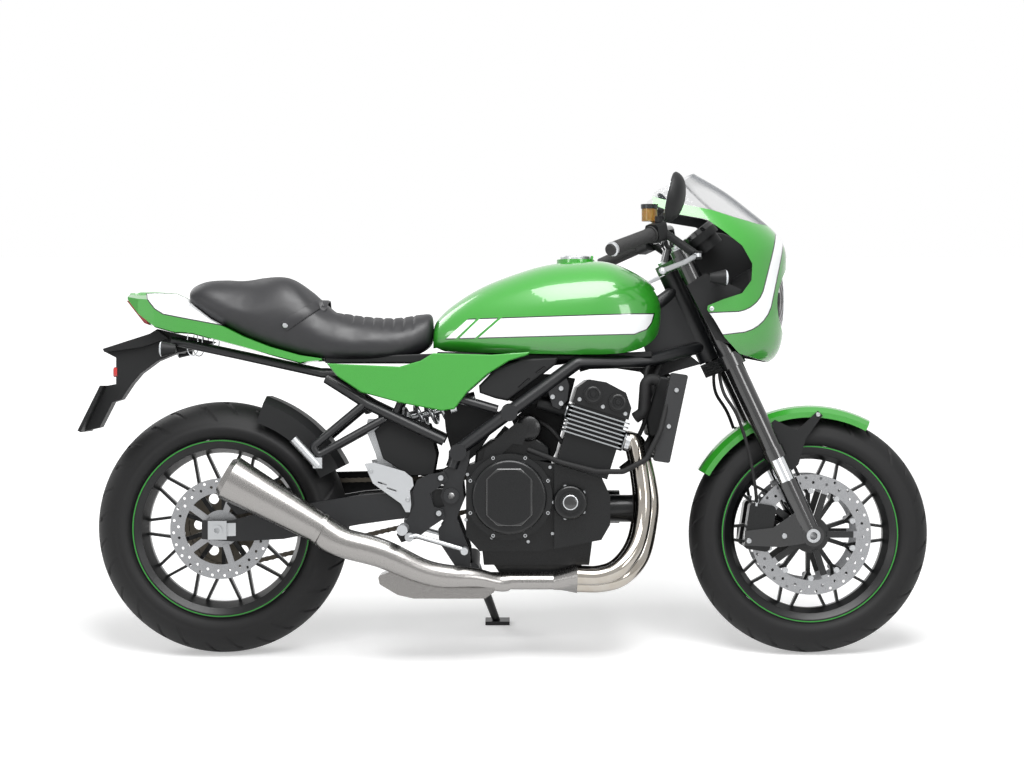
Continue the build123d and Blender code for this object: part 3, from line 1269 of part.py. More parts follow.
def upright_bike():
    """Each node's shape, in the upright bike."""
    shell = cowl_shell()
    return {
        "frame": frame(),
        "rear_frame": rear_frame(),
        "swingarm": swingarm(),
        "rear_axle": rear_axle() + pivot_shaft(),
        "shock": shock(),
        "cylinders": cylinders(),
        "head_cover": head_cover(),
        "crankcase": crankcase(),
        "sump": sump(),
        "right_covers": right_covers(),
        "left_covers": left_covers(),
        "airbox": airbox(),
        "radiator": radiator(),
        "hoses": hoses(),
        "headers": headers(),
        "collector": collector(),
        "muffler": muffler(),
        "fuel_tank": fuel_tank(),
        "seat": seat(),
        "tail_cowl": tail_cowl(),
        "tail_lamp": tail_lamp(),
        "plate_carrier": plate_carrier(),
        "rear_signals": rear_signals(),
        "side_covers": side_covers(),
        "footrests": footrests(),
        "foot_levers": foot_levers(),
        "rear_guards": hugger_and_guard(),
        "chain": chain(),
        "front_sprocket": front_sprocket(),
        "rear_caliper": rear_caliper(),
        "fuel_cap": fuel_cap(),
        "side_stand": side_stand(),
        "fork_outers": fork_outers(),
        "fork_sliders": fork_sliders(),
        "fork_bottoms": axle_clamps(),
        "front_axle": front_axle(),
        "triple_clamps": triple_clamps(),
        "handlebar": handlebar(),
        "grips": Pos(FRONT_SHIFT) * grips(),
        "switches": Pos(FRONT_SHIFT) * switches(),
        "levers": Pos(FRONT_SHIFT) * levers(),
        "reservoir": Pos(FRONT_SHIFT) * reservoir(),
        "mirrors": Pos(FRONT_SHIFT) * mirrors(),
        "cowl": Pos(FRONT_SHIFT) * cowl(shell),
        "windscreen": Pos(FRONT_SHIFT) * windscreen(shell),
        "headlight": Pos(FRONT_SHIFT) * headlight(),
        "instruments": Pos(FRONT_SHIFT) * instruments(),
        "front_stays": lamp_stay() + fender_stays(),
        "front_signals": Pos(FRONT_SHIFT) * front_signals(),
        "front_fender": front_fender(),
        "front_calipers": front_calipers(),
        "front_tyre": tyre(FRONT_AXLE, FRONT_TYRE_RADIUS, FRONT_TYRE_WIDTH, FRONT_CROWN),
        "front_rim": rim(FRONT_AXLE, FRONT_RIM_WIDTH, FRONT_HUB_HALF, 15),
        "front_discs": both_sides(brake_disc(FRONT_AXLE, FRONT_DISC_RADIUS, FRONT_DISC_Y, 46, FRONT_HUB_HALF + SEAT_GAP)),
        "rear_tyre": tyre(REAR_AXLE, REAR_TYRE_RADIUS, REAR_TYRE_WIDTH, REAR_CROWN),
        "rear_rim": rim(REAR_AXLE, REAR_RIM_WIDTH, REAR_HUB_HALF, 18),
        "rear_disc": brake_disc(REAR_AXLE, REAR_DISC_RADIUS, -REAR_DISC_Y, 46, REAR_HUB_HALF + SEAT_GAP),
        "rear_sprocket": rear_sprocket(),
    }


# The parked bike's box, whose middle goes to the origin
MIDDLE_X = -28.9
MIDDLE_Y = 162.3


def park():
    """The move from the upright bike to the parked one."""
    return Pos(-MIDDLE_X, -MIDDLE_Y, 0) * Rot(-LEAN, 0, 0)


def main():
    os.makedirs("parts", exist_ok=True)
    for name, shape in upright_bike().items():
        export_step(park() * shape, f"parts/{name}.step")


if __name__ == "__main__":
    main()
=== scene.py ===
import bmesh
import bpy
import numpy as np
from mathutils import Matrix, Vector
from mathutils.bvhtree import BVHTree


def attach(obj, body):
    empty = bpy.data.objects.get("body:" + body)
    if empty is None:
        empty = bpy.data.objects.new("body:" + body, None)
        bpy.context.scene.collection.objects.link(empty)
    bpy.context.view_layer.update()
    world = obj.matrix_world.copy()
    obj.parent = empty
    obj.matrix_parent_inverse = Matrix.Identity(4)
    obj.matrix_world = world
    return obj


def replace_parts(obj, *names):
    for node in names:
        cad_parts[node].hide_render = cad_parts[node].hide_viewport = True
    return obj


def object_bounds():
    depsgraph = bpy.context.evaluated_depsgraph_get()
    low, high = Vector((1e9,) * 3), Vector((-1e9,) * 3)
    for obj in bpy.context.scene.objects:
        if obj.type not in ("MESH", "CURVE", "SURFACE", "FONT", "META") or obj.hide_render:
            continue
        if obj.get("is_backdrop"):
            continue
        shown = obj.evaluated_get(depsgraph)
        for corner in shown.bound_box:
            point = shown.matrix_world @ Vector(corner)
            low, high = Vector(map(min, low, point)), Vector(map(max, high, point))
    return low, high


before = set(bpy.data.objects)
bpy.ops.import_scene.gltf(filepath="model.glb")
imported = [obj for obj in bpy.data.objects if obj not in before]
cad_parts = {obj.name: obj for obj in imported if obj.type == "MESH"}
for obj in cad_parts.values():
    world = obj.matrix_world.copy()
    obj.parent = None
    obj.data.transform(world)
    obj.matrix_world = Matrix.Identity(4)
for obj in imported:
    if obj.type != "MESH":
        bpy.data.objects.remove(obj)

# %% [markdown]
# A café racer, parked on its side stand. The solids come from the CAD model; this lesson dresses
# them: it gives each one the finish of the real thing and adds what is too fine for CAD, such as
# the tyres' tread, the painted stripes, bolt heads, hoses and the faces of the meters.
# Everything is drawn in the upright bike's millimetres and then leaned, because a bike's lines
# are easiest to write down while it stands straight.

CAD_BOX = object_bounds()
LEAN = np.radians(9.0)
MIDDLE = np.array([-28.9, 162.3])


def park(points):
    """Lean upright millimetres into the frame's metres: (y, z) turn by the lean, towards +y."""
    x, y, z = np.moveaxis(np.asarray(points, float), -1, 0)
    c, s = np.cos(LEAN), np.sin(LEAN)
    return np.stack([x - MIDDLE[0], y * c + z * s - MIDDLE[1], z * c - y * s], -1) / 1000


def path_points(corners, rows):
    """Points along a smooth line through the corners: a cubic between each two (Catmull-Rom)."""
    p = np.asarray(corners, float)
    p = np.vstack([2 * p[0] - p[1], p, 2 * p[-1] - p[-2]])
    t = np.linspace(0, len(corners) - 1, rows)
    i = np.minimum(t.astype(int), len(corners) - 2)
    f = (t - i)[:, None]
    a, b, c, d = p[i], p[i + 1], p[i + 2], p[i + 3]
    return 0.5 * (2 * b + (c - a) * f + (2 * a - 5 * b + 4 * c - d) * f**2 + (3 * b - a - 3 * c + d) * f**3)


print("CAD box", CAD_BOX)

# %% [markdown]
# A surface here is always a grid of points that numpy works out in one go. One helper turns such
# a grid into a mesh: its rows and columns become quads, and a closed direction joins its last
# line to its first. Doing this by hand in edit mode would take hours and could not be repeated.

# %% A grid of points becomes a mesh
def quads(rows, columns, close_rows=False, close_columns=False):
    """The corners of each quad of a grid, as vertex numbers: (r, c), (r, c+1), (r+1, c+1), (r+1, c)."""
    r = np.arange(rows if close_rows else rows - 1)
    c = np.arange(columns if close_columns else columns - 1)
    r, c = np.meshgrid(r, c, indexing="ij")
    r, c = r.ravel(), c.ravel()
    r2, c2 = (r + 1) % rows, (c + 1) % columns
    return np.stack([r * columns + c, r * columns + c2, r2 * columns + c2, r2 * columns + c], -1)


def mesh_piece(name, points, faces, finish, body, slot, smooth=True):
    """A new piece from upright points and faces; its faces are turned to point outwards."""
    mesh = bpy.data.meshes.new(name)
    mesh.from_pydata(park(points).reshape(-1, 3), [], faces.tolist() if hasattr(faces, "tolist") else faces)
    shell = bmesh.new()
    shell.from_mesh(mesh)
    bmesh.ops.recalc_face_normals(shell, faces=shell.faces)
    shell.to_mesh(mesh)
    shell.free()
    mesh.polygons.foreach_set("use_smooth", np.full(len(mesh.polygons), smooth))
    if smooth:
        mesh.set_sharp_from_angle(angle=np.radians(40))
    mesh.materials.append(finish)
    piece = bpy.data.objects.new(name, mesh)
    bpy.context.scene.collection.objects.link(piece)
    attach(piece, body)
    return piece


def join(parts):
    """Many (points, faces) pairs as one: the faces' numbers move up by the points before them."""
    start, points, faces = 0, [], []
    for p, f in parts:
        p = p.reshape(-1, 3)
        points.append(p)
        faces += [[i + start for i in face] for face in (f.tolist() if hasattr(f, "tolist") else f)]
        start += len(p)
    return np.vstack(points), faces


def capped(points, faces, rows, columns):
    """Close both ends of a tube whose rows are rings."""
    last = (rows - 1) * columns
    return faces.tolist() + [list(range(columns))] + [list(range(last + columns - 1, last - 1, -1))]


def tube(line, radii, sides=16):
    """A round tube: rings across a line of points, each turned from the one before with no twist."""
    line = np.asarray(line, float)
    radii = np.broadcast_to(radii, len(line))
    way = np.gradient(line, axis=0)
    way /= np.linalg.norm(way, axis=1, keepdims=True)
    side = np.cross(way[0], [0.3, 0.2, 0.93])
    frames = []
    for w in way:
        side = side - w * (side @ w)
        side /= np.linalg.norm(side)
        frames.append((side, np.cross(w, side)))
    u, v = np.array([f[0] for f in frames]), np.array([f[1] for f in frames])
    a = np.linspace(0, 2 * np.pi, sides, endpoint=False)
    ring = np.cos(a)[None, :, None] * u[:, None] + np.sin(a)[None, :, None] * v[:, None]
    points = line[:, None] + ring * radii[:, None, None]
    return points, capped(points, quads(len(line), sides, close_columns=True), len(line), sides)


def turned(profile, centre, axis=(0, 1, 0), sides=32):
    """A lathe shape: (radius, along) points turned about an axis through a centre, closed by flat ends."""
    axis = np.asarray(axis, float) / np.linalg.norm(axis)
    u = np.cross(axis, [0, 0, 1.0] if abs(axis[2]) < 0.9 else [1.0, 0, 0])
    u /= np.linalg.norm(u)
    v = np.cross(axis, u)
    a = np.linspace(0, 2 * np.pi, sides, endpoint=False)
    ring = np.cos(a)[:, None] * u + np.sin(a)[:, None] * v
    profile = np.asarray(profile, float)
    points = np.asarray(centre, float) + profile[:, None, :1] * ring[None] + profile[:, None, 1:] * axis
    return points, capped(points, quads(len(profile), sides, close_columns=True), len(profile), sides)


def mirrored(spots):
    """The spots and their mirror images on the bike's other side."""
    spots = np.asarray(spots, float)
    return np.vstack([spots, spots * [1, -1, 1]])


# %% [markdown]
# Colours are written as the hex values that a picture editor shows (sRGB) and turned to linear
# light, which is what shaders reckon with. One more helper adds a node to a material, sets its
# values and links its inputs, so that each finish below reads as a short list.

# %% Colours and nodes
def linear(code, alpha=1.0):
    """sRGB hex to linear: the curve is a straight foot, then a power of 2.4."""
    c = np.array([int(code[i : i + 2], 16) for i in (0, 2, 4)]) / 255
    return (*np.where(c <= 0.04045, c / 12.92, ((c + 0.055) / 1.055) ** 2.4), alpha)


def node(tree, kind, values=None, links=None, **settings):
    """Add a node: settings are its properties, values its sockets' numbers, links its sources."""
    made = tree.nodes.new("ShaderNode" + kind)
    for key, value in settings.items():
        setattr(made, key, value)
    for key, value in (values or {}).items():
        made.inputs[key].default_value = value
    for key, source in (links or {}).items():
        tree.links.new(source, made.inputs[key])
    return made


def finish(name, colour, **shader):
    """A material with its main colour and fixed shader values; its tree is dressed further below."""
    material = bpy.data.materials.new(name)
    material.use_nodes = True
    surface = material.node_tree.nodes["Principled BSDF"]
    surface.inputs["Base Color"].default_value = linear(colour)
    for key, value in shader.items():
        surface.inputs[key.replace("_", " ").title().replace("Ior", "IOR")].default_value = value
    return material, material.node_tree, surface


def upright(tree):
    """Object coordinates turned back by the lean: the upright bike's place in metres."""
    where = node(tree, "TexCoord")
    c, s = np.cos(LEAN), np.sin(LEAN)
    middle = (MIDDLE[0] / 1000, MIDDLE[1] * c / 1000, MIDDLE[1] * s / 1000)
    turn = {"Location": middle, "Rotation": (LEAN, 0, 0)}
    return node(tree, "Mapping", turn, {"Vector": where.outputs["Object"]})


def spread(tree, source, low, high, socket, start=0.3, end=0.7):
    """Carry a number that runs from start to end over to low and high, and on to a socket."""
    limits = {"From Min": start, "From Max": end, "To Min": low, "To Max": high}
    made = node(tree, "MapRange", limits, {"Value": source})
    tree.links.new(made.outputs["Result"], socket)


def grain(tree, surface, size_mm, strength, depth_mm=0.05, rough=None, stretch=(1, 1, 1), detail=4.0):
    """A fine noise as bump, and as a change of roughness between two values; size in real mm."""
    place = upright(tree)
    place.inputs["Scale"].default_value = stretch
    looks = {"Scale": 1000 / size_mm, "Detail": detail, "Roughness": 0.6}
    noise = node(tree, "TexNoise", looks, {"Vector": place.outputs["Vector"]})
    relief = {"Strength": strength, "Distance": depth_mm / 1000}
    bump = node(tree, "Bump", relief, {"Height": noise.outputs["Fac"]})
    tree.links.new(bump.outputs["Normal"], surface.inputs["Normal"])
    if rough:
        spread(tree, noise.outputs["Fac"], *rough, surface.inputs["Roughness"])
    return noise


# %% [markdown]
# The green is a two-layer car paint: a bright candy-like base under clear lacquer. The lacquer is
# the coat of the shader, smooth, while the base below it scatters softly. The stripes are paint as
# well: each striped material works out at every point its distance in millimetres from the
# stripe's edge, and turns that into white, a black pinstripe, or green.

# %% Paint
def lacquer(name, colour):
    """Colour under a clear coat: ripples of 9 mm in the coat, flakes of 0.8 mm in the base."""
    made, tree, surface = finish(name, colour, roughness=0.32, coat_weight=1.0, coat_roughness=0.04, ior=1.5)
    place = upright(tree)
    ripple = node(tree, "TexNoise", {"Scale": 1000 / 9, "Detail": 2.0}, {"Vector": place.outputs["Vector"]})
    bump = node(tree, "Bump", {"Strength": 0.05, "Distance": 0.0004}, {"Height": ripple.outputs["Fac"]})
    tree.links.new(bump.outputs["Normal"], surface.inputs["Coat Normal"])
    flake = node(tree, "TexNoise", {"Scale": 1000 / 0.8, "Detail": 2.0}, {"Vector": place.outputs["Vector"]})
    spread(tree, flake.outputs["Fac"], 0.26, 0.38, surface.inputs["Roughness"])
    return made, tree, surface


GREEN, WHITE, PIN = "27851F", "E9EBEC", "101512"
green_paint, _, _ = lacquer("green_lacquer", GREEN)

# %% [markdown]
# A stripe is painted through a mask. On the real bike it is a decal under the lacquer, cut to an
# outline, so here each outline is a few straight sides in the upright bike's x and z: the mask is
# the distance to the nearest side in millimetres, positive inside. White is where it is positive,
# and the black pinstripe is the next three millimetres. A round corner is a fan of such sides.

# %% Masks from straight sides
def dot_mm(tree, place, normal, offset):
    """place . normal - offset, in mm: how far a point is beyond a flat side."""
    dot = node(tree, "VectorMath", {1: normal}, {0: place}, operation="DOT_PRODUCT")
    far = node(tree, "Math", {1: 1000.0, 2: -offset}, {0: dot.outputs["Value"]}, operation="MULTIPLY_ADD")
    return far.outputs["Value"]


def math(tree, operation, a, b):
    """One step of arithmetic between a socket and a socket or number."""
    if isinstance(b, (int, float)):
        return node(tree, "Math", {1: b}, {0: a}, operation=operation).outputs["Value"]
    return node(tree, "Math", {}, {0: a, 1: b}, operation=operation).outputs["Value"]


def fold(tree, operation, sockets):
    """The least or the greatest of several numbers."""
    result = sockets[0]
    for socket in sockets[1:]:
        result = math(tree, operation, result, socket)
    return result


def left_of(tree, place, a, b):
    """How far a point lies to the left of the line from a to b, both (x, z) of the upright bike."""
    (ax, az), (bx, bz) = a, b
    length = np.hypot(bx - ax, bz - az)
    nx, nz = -(bz - az) / length, (bx - ax) / length
    return dot_mm(tree, place, (nx, 0, nz), nx * ax + nz * az)


def inside(tree, place, corners):
    """How far a point is inside a line of straight sides that bends to the left."""
    return fold(tree, "MINIMUM", [left_of(tree, place, a, b) for a, b in zip(corners, corners[1:])])


def beyond_corner(tree, place, centre, radius, start, end, sides=7):
    """How far a point is outside a rounded corner, whose sides face from start to end degrees off down."""
    faces = []
    for angle in np.radians(np.linspace(start, end, sides)):
        nx, nz = np.sin(angle), -np.cos(angle)
        faces.append(dot_mm(tree, place, (nx, 0, nz), nx * centre[0] + nz * centre[1] + radius))
    return fold(tree, "MAXIMUM", faces)


def mix(tree, factor, a, b):
    """Colour a where the factor is 0 and b where it is 1; each is a colour or a socket."""
    made = node(tree, "Mix", {}, {"Factor": factor}, data_type="RGBA")
    for name, colour in (("A", a), ("B", b)):
        if isinstance(colour, tuple):
            made.inputs[name].default_value = colour
        else:
            tree.links.new(colour, made.inputs[name])
    return made.outputs["Result"]


def stripe(tree, surface, across, along=None, ground=linear(GREEN)):
    """Green, then the pinstripe, then white, by the mask across; all green where along is negative."""
    band = mix(tree, math(tree, "GREATER_THAN", across, 0.0), linear(PIN), linear(WHITE))
    colour = mix(tree, math(tree, "GREATER_THAN", across, -3.0), ground, band)
    if along:
        colour = mix(tree, math(tree, "GREATER_THAN", along, 0.0), ground, colour)
    tree.links.new(colour, surface.inputs["Base Color"])
    return colour


# %% Striped paints
tank_paint, tree, surface = lacquer("tank_lacquer", GREEN)
place = upright(tree).outputs["Vector"]
TANK_BAND = [(-173, 788.9), (291, 799.8), (322, 812), (334, 828), (340, 848.5), (-121, 834.6)]
across = inside(tree, place, TANK_BAND)
cuts = [left_of(tree, place, (-121, 834.6), (-173, 788.9))]
for foot, top in (((-141, 792.3), (-96.5, 834.6)), ((-94, 792.3), (-44.7, 834.6))):
    cuts.append(math(tree, "SUBTRACT", math(tree, "ABSOLUTE", left_of(tree, place, foot, top), 0.0), 2.8))
stripe(tree, surface, across, fold(tree, "MINIMUM", cuts))

tail_paint, tree, surface = lacquer("tail_lacquer", GREEN)
place = upright(tree).outputs["Vector"]
CREASE = [
    (-930, 915), (-922, 898), (-911, 881.7), (-897, 864),
    (-876, 851), (-833, 842.5), (-745, 826), (-560, 793),
]
HUMP_HALF = 38.0
split = node(tree, "SeparateXYZ", {}, {"Vector": place})
half_way = math(tree, "MULTIPLY", math(tree, "ABSOLUTE", split.outputs["Y"], 0.0), 1000.0)
hump = math(tree, "SUBTRACT", half_way, HUMP_HALF)
stripe(tree, surface, math(tree, "MINIMUM", inside(tree, place, CREASE), hump))

cowl_paint, tree, surface = lacquer("cowl_lacquer", GREEN)
place = upright(tree).outputs["Vector"]
upper = beyond_corner(tree, place, (534.9, 933.6), 81.4, 2.4, 75)
lower = beyond_corner(tree, place, (542.3, 896.4), 93.0, 7.0, 77.3)
colour = stripe(tree, surface, math(tree, "MINIMUM", upper, math(tree, "MULTIPLY", lower, -1.0)))
where = node(tree, "TexCoord")
COWL_HEART = tuple(park([430.0, 0.0, 930.0]))
ray = node(tree, "VectorMath", {1: COWL_HEART}, {0: where.outputs["Object"]}, operation="SUBTRACT")
sides = {0: ray.outputs["Vector"], 1: where.outputs["Normal"]}
facing = node(tree, "VectorMath", {}, sides, operation="DOT_PRODUCT")
outer = math(tree, "GREATER_THAN", facing.outputs["Value"], 0.0)
tree.links.new(mix(tree, outer, linear("0C0D0E"), colour), surface.inputs["Base Color"])
tree.links.new(outer, surface.inputs["Coat Weight"])
print("striped paints:", tank_paint.name, tail_paint.name, cowl_paint.name)

# %% [markdown]
# The black parts differ mostly in gloss: the wheels and fork are gloss paint, the frame is satin,
# the engine is a baked enamel with the faint texture of its castings, and the plastic is moulded
# with a fine leather-like grain. Each one gets its grain at the real size.

# %% Blacks
frame_black, tree, surface = finish("satin_frame_paint", "121315", roughness=0.36, specular_ior_level=0.4)
grain(tree, surface, 1.2, 0.12, 0.06, rough=(0.3, 0.44))
wheel_black, tree, surface = finish(
    "gloss_black_paint", "0B0C0D", roughness=0.22, coat_weight=0.8, coat_roughness=0.08)
grain(tree, surface, 3.0, 0.04, 0.05, rough=(0.18, 0.27))
engine_black, tree, surface = finish(
    "baked_engine_enamel", "08090A", roughness=0.3, specular_ior_level=0.3,
    coat_weight=0.15, coat_roughness=0.1)
grain(tree, surface, 1.6, 0.3, 0.08, rough=(0.24, 0.4))
moulded_black, tree, surface = finish("moulded_plastic", "0B0C0D", roughness=0.5, specular_ior_level=0.28)
grain(tree, surface, 0.9, 0.3, 0.08, rough=(0.48, 0.62))
rubber_black, tree, surface = finish("moulded_rubber", "0D0D0E", roughness=0.6, specular_ior_level=0.35)
grain(tree, surface, 1.0, 0.3, 0.08, rough=(0.62, 0.8))
tyre_rubber, tree, surface = finish("tyre_rubber", "0B0B0C", roughness=0.52, specular_ior_level=0.3)
grain(tree, surface, 0.7, 0.25, 0.08, rough=(0.54, 0.7))

# %% [markdown]
# Some solids carry two finishes. The fins are cast and enamelled, then their edges are machined
# bright; the rims have a thin green line near their edge; the radiator is a core of flat tubes
# between its tanks. Each of these is a mask on the upright bike's place again, so the shape stays
# as it is and only the colour and the roughness change.

# %% Two-tone solids
FRONT_AXLE, REAR_AXLE = np.array([735.0, 0, 300.77]), np.array([-735.0, 0, 316.15])
TILT, CYLINDER, HALF_WIDTH, HALF_DEPTH, FIN_ROUND = np.radians(17.5), (196.0, 574.0), 184.0, 78.0, 14.0

fin_black, tree, surface = finish("machined_fins", "08090A", roughness=0.34, specular_ior_level=0.3)
grain(tree, surface, 1.6, 0.35, 0.12)
place = upright(tree).outputs["Vector"]
split = node(tree, "SeparateXYZ", {}, {"Vector": place})
width = math(tree, "MULTIPLY", math(tree, "ABSOLUTE", split.outputs["Y"], 0.0), 1000.0)
along = (np.cos(TILT), 0, -np.sin(TILT))
offset = along[0] * CYLINDER[0] + along[2] * CYLINDER[1]
depth = math(tree, "ABSOLUTE", dot_mm(tree, place, along, offset), 0.0)
a = math(tree, "MAXIMUM", math(tree, "SUBTRACT", width, HALF_WIDTH - FIN_ROUND), 0.0)
b = math(tree, "MAXIMUM", math(tree, "SUBTRACT", depth, HALF_DEPTH - FIN_ROUND), 0.0)
edge = math(tree, "SQRT", math(tree, "ADD", math(tree, "MULTIPLY", a, a), math(tree, "MULTIPLY", b, b)), 0.0)
bare = math(tree, "GREATER_THAN", edge, FIN_ROUND - 0.7)
tree.links.new(mix(tree, bare, linear("08090A"), linear("9DA0A2")), surface.inputs["Base Color"])
tree.links.new(bare, surface.inputs["Metallic"])


def ring_mask(tree, place, centre, low, high):
    """1 between two radii, in mm, around an axle that runs across the bike."""
    flat = node(tree, "VectorMath", {1: (1, 0, 1)}, {0: place}, operation="MULTIPLY")
    middle = (centre[0] / 1000, 0, centre[2] / 1000)
    away = node(tree, "VectorMath", {1: middle}, {0: flat.outputs["Vector"]}, operation="DISTANCE")
    inner = math(tree, "GREATER_THAN", away.outputs["Value"], low / 1000)
    return math(tree, "MULTIPLY", inner, math(tree, "LESS_THAN", away.outputs["Value"], high / 1000))


def rim_paint(name, axle):
    """Gloss black with a thin green line just inside the rim's edge."""
    made, tree, surface = finish(name, "0B0C0D", roughness=0.34, specular_ior_level=0.35)
    grain(tree, surface, 3.0, 0.04, 0.05, rough=(0.28, 0.4))
    band = ring_mask(tree, upright(tree).outputs["Vector"], axle, 217.8, 220.2)
    tree.links.new(mix(tree, band, linear("0B0C0D"), linear("2B8A2E")), surface.inputs["Base Color"])
    return made


front_rim_black = rim_paint("front_rim_paint", FRONT_AXLE)
rear_rim_black = rim_paint("rear_rim_paint", REAR_AXLE)

shaft_steel, tree, surface = finish("axle_and_pivot_steel", "B9BBBD", metallic=1.0, roughness=0.28)
grain(tree, surface, 1.4, 0.15, 0.05)
at_pivot = ring_mask(tree, upright(tree).outputs["Vector"], np.array([-160.0, 0, 400.0]), 0.0, 40.0)
tree.links.new(mix(tree, at_pivot, linear("B9BBBD"), linear("141517")), surface.inputs["Base Color"])
steel_share = node(tree, "Math", {0: 1.0}, {1: at_pivot}, operation="SUBTRACT")
tree.links.new(steel_share.outputs["Value"], surface.inputs["Metallic"])

core_black, tree, surface = finish("radiator_core", "0E0F10", roughness=0.45)
place = upright(tree).outputs["Vector"]
turns = dot_mm(tree, place, (0.22, 0, 0.975), 0.0)
wave = math(tree, "SINE", math(tree, "MULTIPLY", turns, 2 * np.pi / 9.0), 0.0)
bump = node(tree, "Bump", {"Strength": 0.9, "Distance": 0.002}, {"Height": wave})
tree.links.new(bump.outputs["Normal"], surface.inputs["Normal"])
comb = math(tree, "SINE", math(tree, "MULTIPLY", dot_mm(tree, place, (0, 1, 0), 0.0), 2 * np.pi / 3.0), 0.0)
dark = math(tree, "GREATER_THAN", math(tree, "ADD", wave, math(tree, "MULTIPLY", comb, 0.4)), 0.2)
split = node(tree, "SeparateXYZ", {}, {"Vector": place})
core = math(tree, "LESS_THAN", math(tree, "ABSOLUTE", split.outputs["Y"], 0.0), 0.1502)
tree.links.new(math(tree, "MULTIPLY", core, wave), bump.inputs["Height"])
comb = mix(tree, dark, linear("2A2C2E"), linear("0A0A0B"))
tree.links.new(mix(tree, core, linear("101113"), comb), surface.inputs["Base Color"])

grip_rubber, tree, surface = finish("ribbed_grip_rubber", "171717", roughness=0.72)
mirror_y = node(tree, "VectorMath", {}, {0: upright(tree).outputs["Vector"]}, operation="ABSOLUTE")
turns = dot_mm(tree, mirror_y.outputs["Vector"], (-0.617, 0.743, -0.2615), 0.0)
wave = math(tree, "SINE", math(tree, "MULTIPLY", turns, 2 * np.pi / 5.0), 0.0)
bump = node(tree, "Bump", {"Strength": 0.8, "Distance": 0.0012}, {"Height": wave})
tree.links.new(bump.outputs["Normal"], surface.inputs["Normal"])

lamp_face, tree, surface = finish("headlight_lens", "C8CED3", metallic=0.7, roughness=0.1, coat_weight=1.0)
place = upright(tree).outputs["Vector"]
flat = node(tree, "VectorMath", {1: (0, 1, 1)}, {0: place}, operation="MULTIPLY")
away = node(tree, "VectorMath", {1: (0, 0, 0.884)}, {0: flat.outputs["Vector"]}, operation="DISTANCE")
shell = math(tree, "GREATER_THAN", away.outputs["Value"], 0.0675)
tree.links.new(mix(tree, shell, linear("C8CED3"), linear("0C0D0E")), surface.inputs["Base Color"])
turns = dot_mm(tree, place, (0, 1, 0), 0.0)
flutes = math(tree, "ABSOLUTE", math(tree, "SINE", math(tree, "MULTIPLY", turns, np.pi / 11.0), 0.0), 0.0)
bump = node(tree, "Bump", {"Strength": 0.6, "Distance": 0.003}, {"Height": flutes})
tree.links.new(bump.outputs["Normal"], surface.inputs["Normal"])
print("two-tone finishes made")

# %% [markdown]
# The bare metals are polished header pipes, tinted by heat in broad patches between a warm yellow
# and a cooler grey, brushed steel on the muffler, ground brake discs, and chrome on the fork. The
# front discs are steel rings on black carriers, so their metal stops at a radius. Brushing is a
# noise stretched about seventeen times along one way, at the width of a belt's scratches.

# %% Metals
chrome, tree, surface = finish("hard_chrome", "D6D8DA", metallic=1.0, roughness=0.06)
grain(tree, surface, 4.0, 0.02, 0.02, rough=(0.04, 0.1))
bright_steel, tree, surface = finish("zinc_plated_steel", "B9BBBD", metallic=1.0, roughness=0.28)
grain(tree, surface, 1.4, 0.15, 0.05, rough=(0.22, 0.36))
alloy, tree, surface = finish("cast_aluminium", "B4B6B8", metallic=1.0, roughness=0.4)
grain(tree, surface, 1.1, 0.3, 0.07, rough=(0.32, 0.48))
disc_steel, tree, surface = finish("ground_disc_steel", "97989A", metallic=1.0, roughness=0.3)
grain(tree, surface, 1.0, 0.12, 0.03, rough=(0.24, 0.38))
floating_disc, tree, surface = finish("floating_disc_steel", "97989A", metallic=1.0, roughness=0.3)
grain(tree, surface, 1.0, 0.12, 0.03, rough=(0.24, 0.38))
carrier = ring_mask(tree, upright(tree).outputs["Vector"], FRONT_AXLE, 0.0, 106.0)
tree.links.new(mix(tree, carrier, linear("97989A"), linear("0B0C0D")), surface.inputs["Base Color"])
tree.links.new(math(tree, "LESS_THAN", carrier, 0.5), surface.inputs["Metallic"])
chain_steel, tree, surface = finish("oiled_chain_steel", "5D5850", metallic=1.0, roughness=0.4)
grain(tree, surface, 1.5, 0.2, 0.05, rough=(0.3, 0.5))
brushed, tree, surface = finish("brushed_stainless", "8B8987", metallic=1.0, roughness=0.26)
grain(tree, surface, 1.2, 0.25, 0.03, rough=(0.18, 0.34), stretch=(1, 0.06, 1), detail=5.0)
polished, tree, surface = finish("polished_header_steel", "CFC9BF", metallic=1.0, roughness=0.12)
noise = grain(tree, surface, 30.0, 0.03, 0.05, rough=(0.08, 0.16))
heat = node(tree, "ValToRGB", {}, {"Fac": noise.outputs["Fac"]})
heat.color_ramp.elements[0].color, heat.color_ramp.elements[1].color = linear("978F82"), linear("A8A5A1")
tree.links.new(heat.outputs["Color"], surface.inputs["Base Color"])

# %% [markdown]
# Clear parts come last. The screen is a thin smoked sheet: one sees through it face on, and it
# darkens where one looks along it, because the way through the sheet grows longer. The tail lamp
# is red all the way, and the fluid pot is a cloudy amber under a black lid.

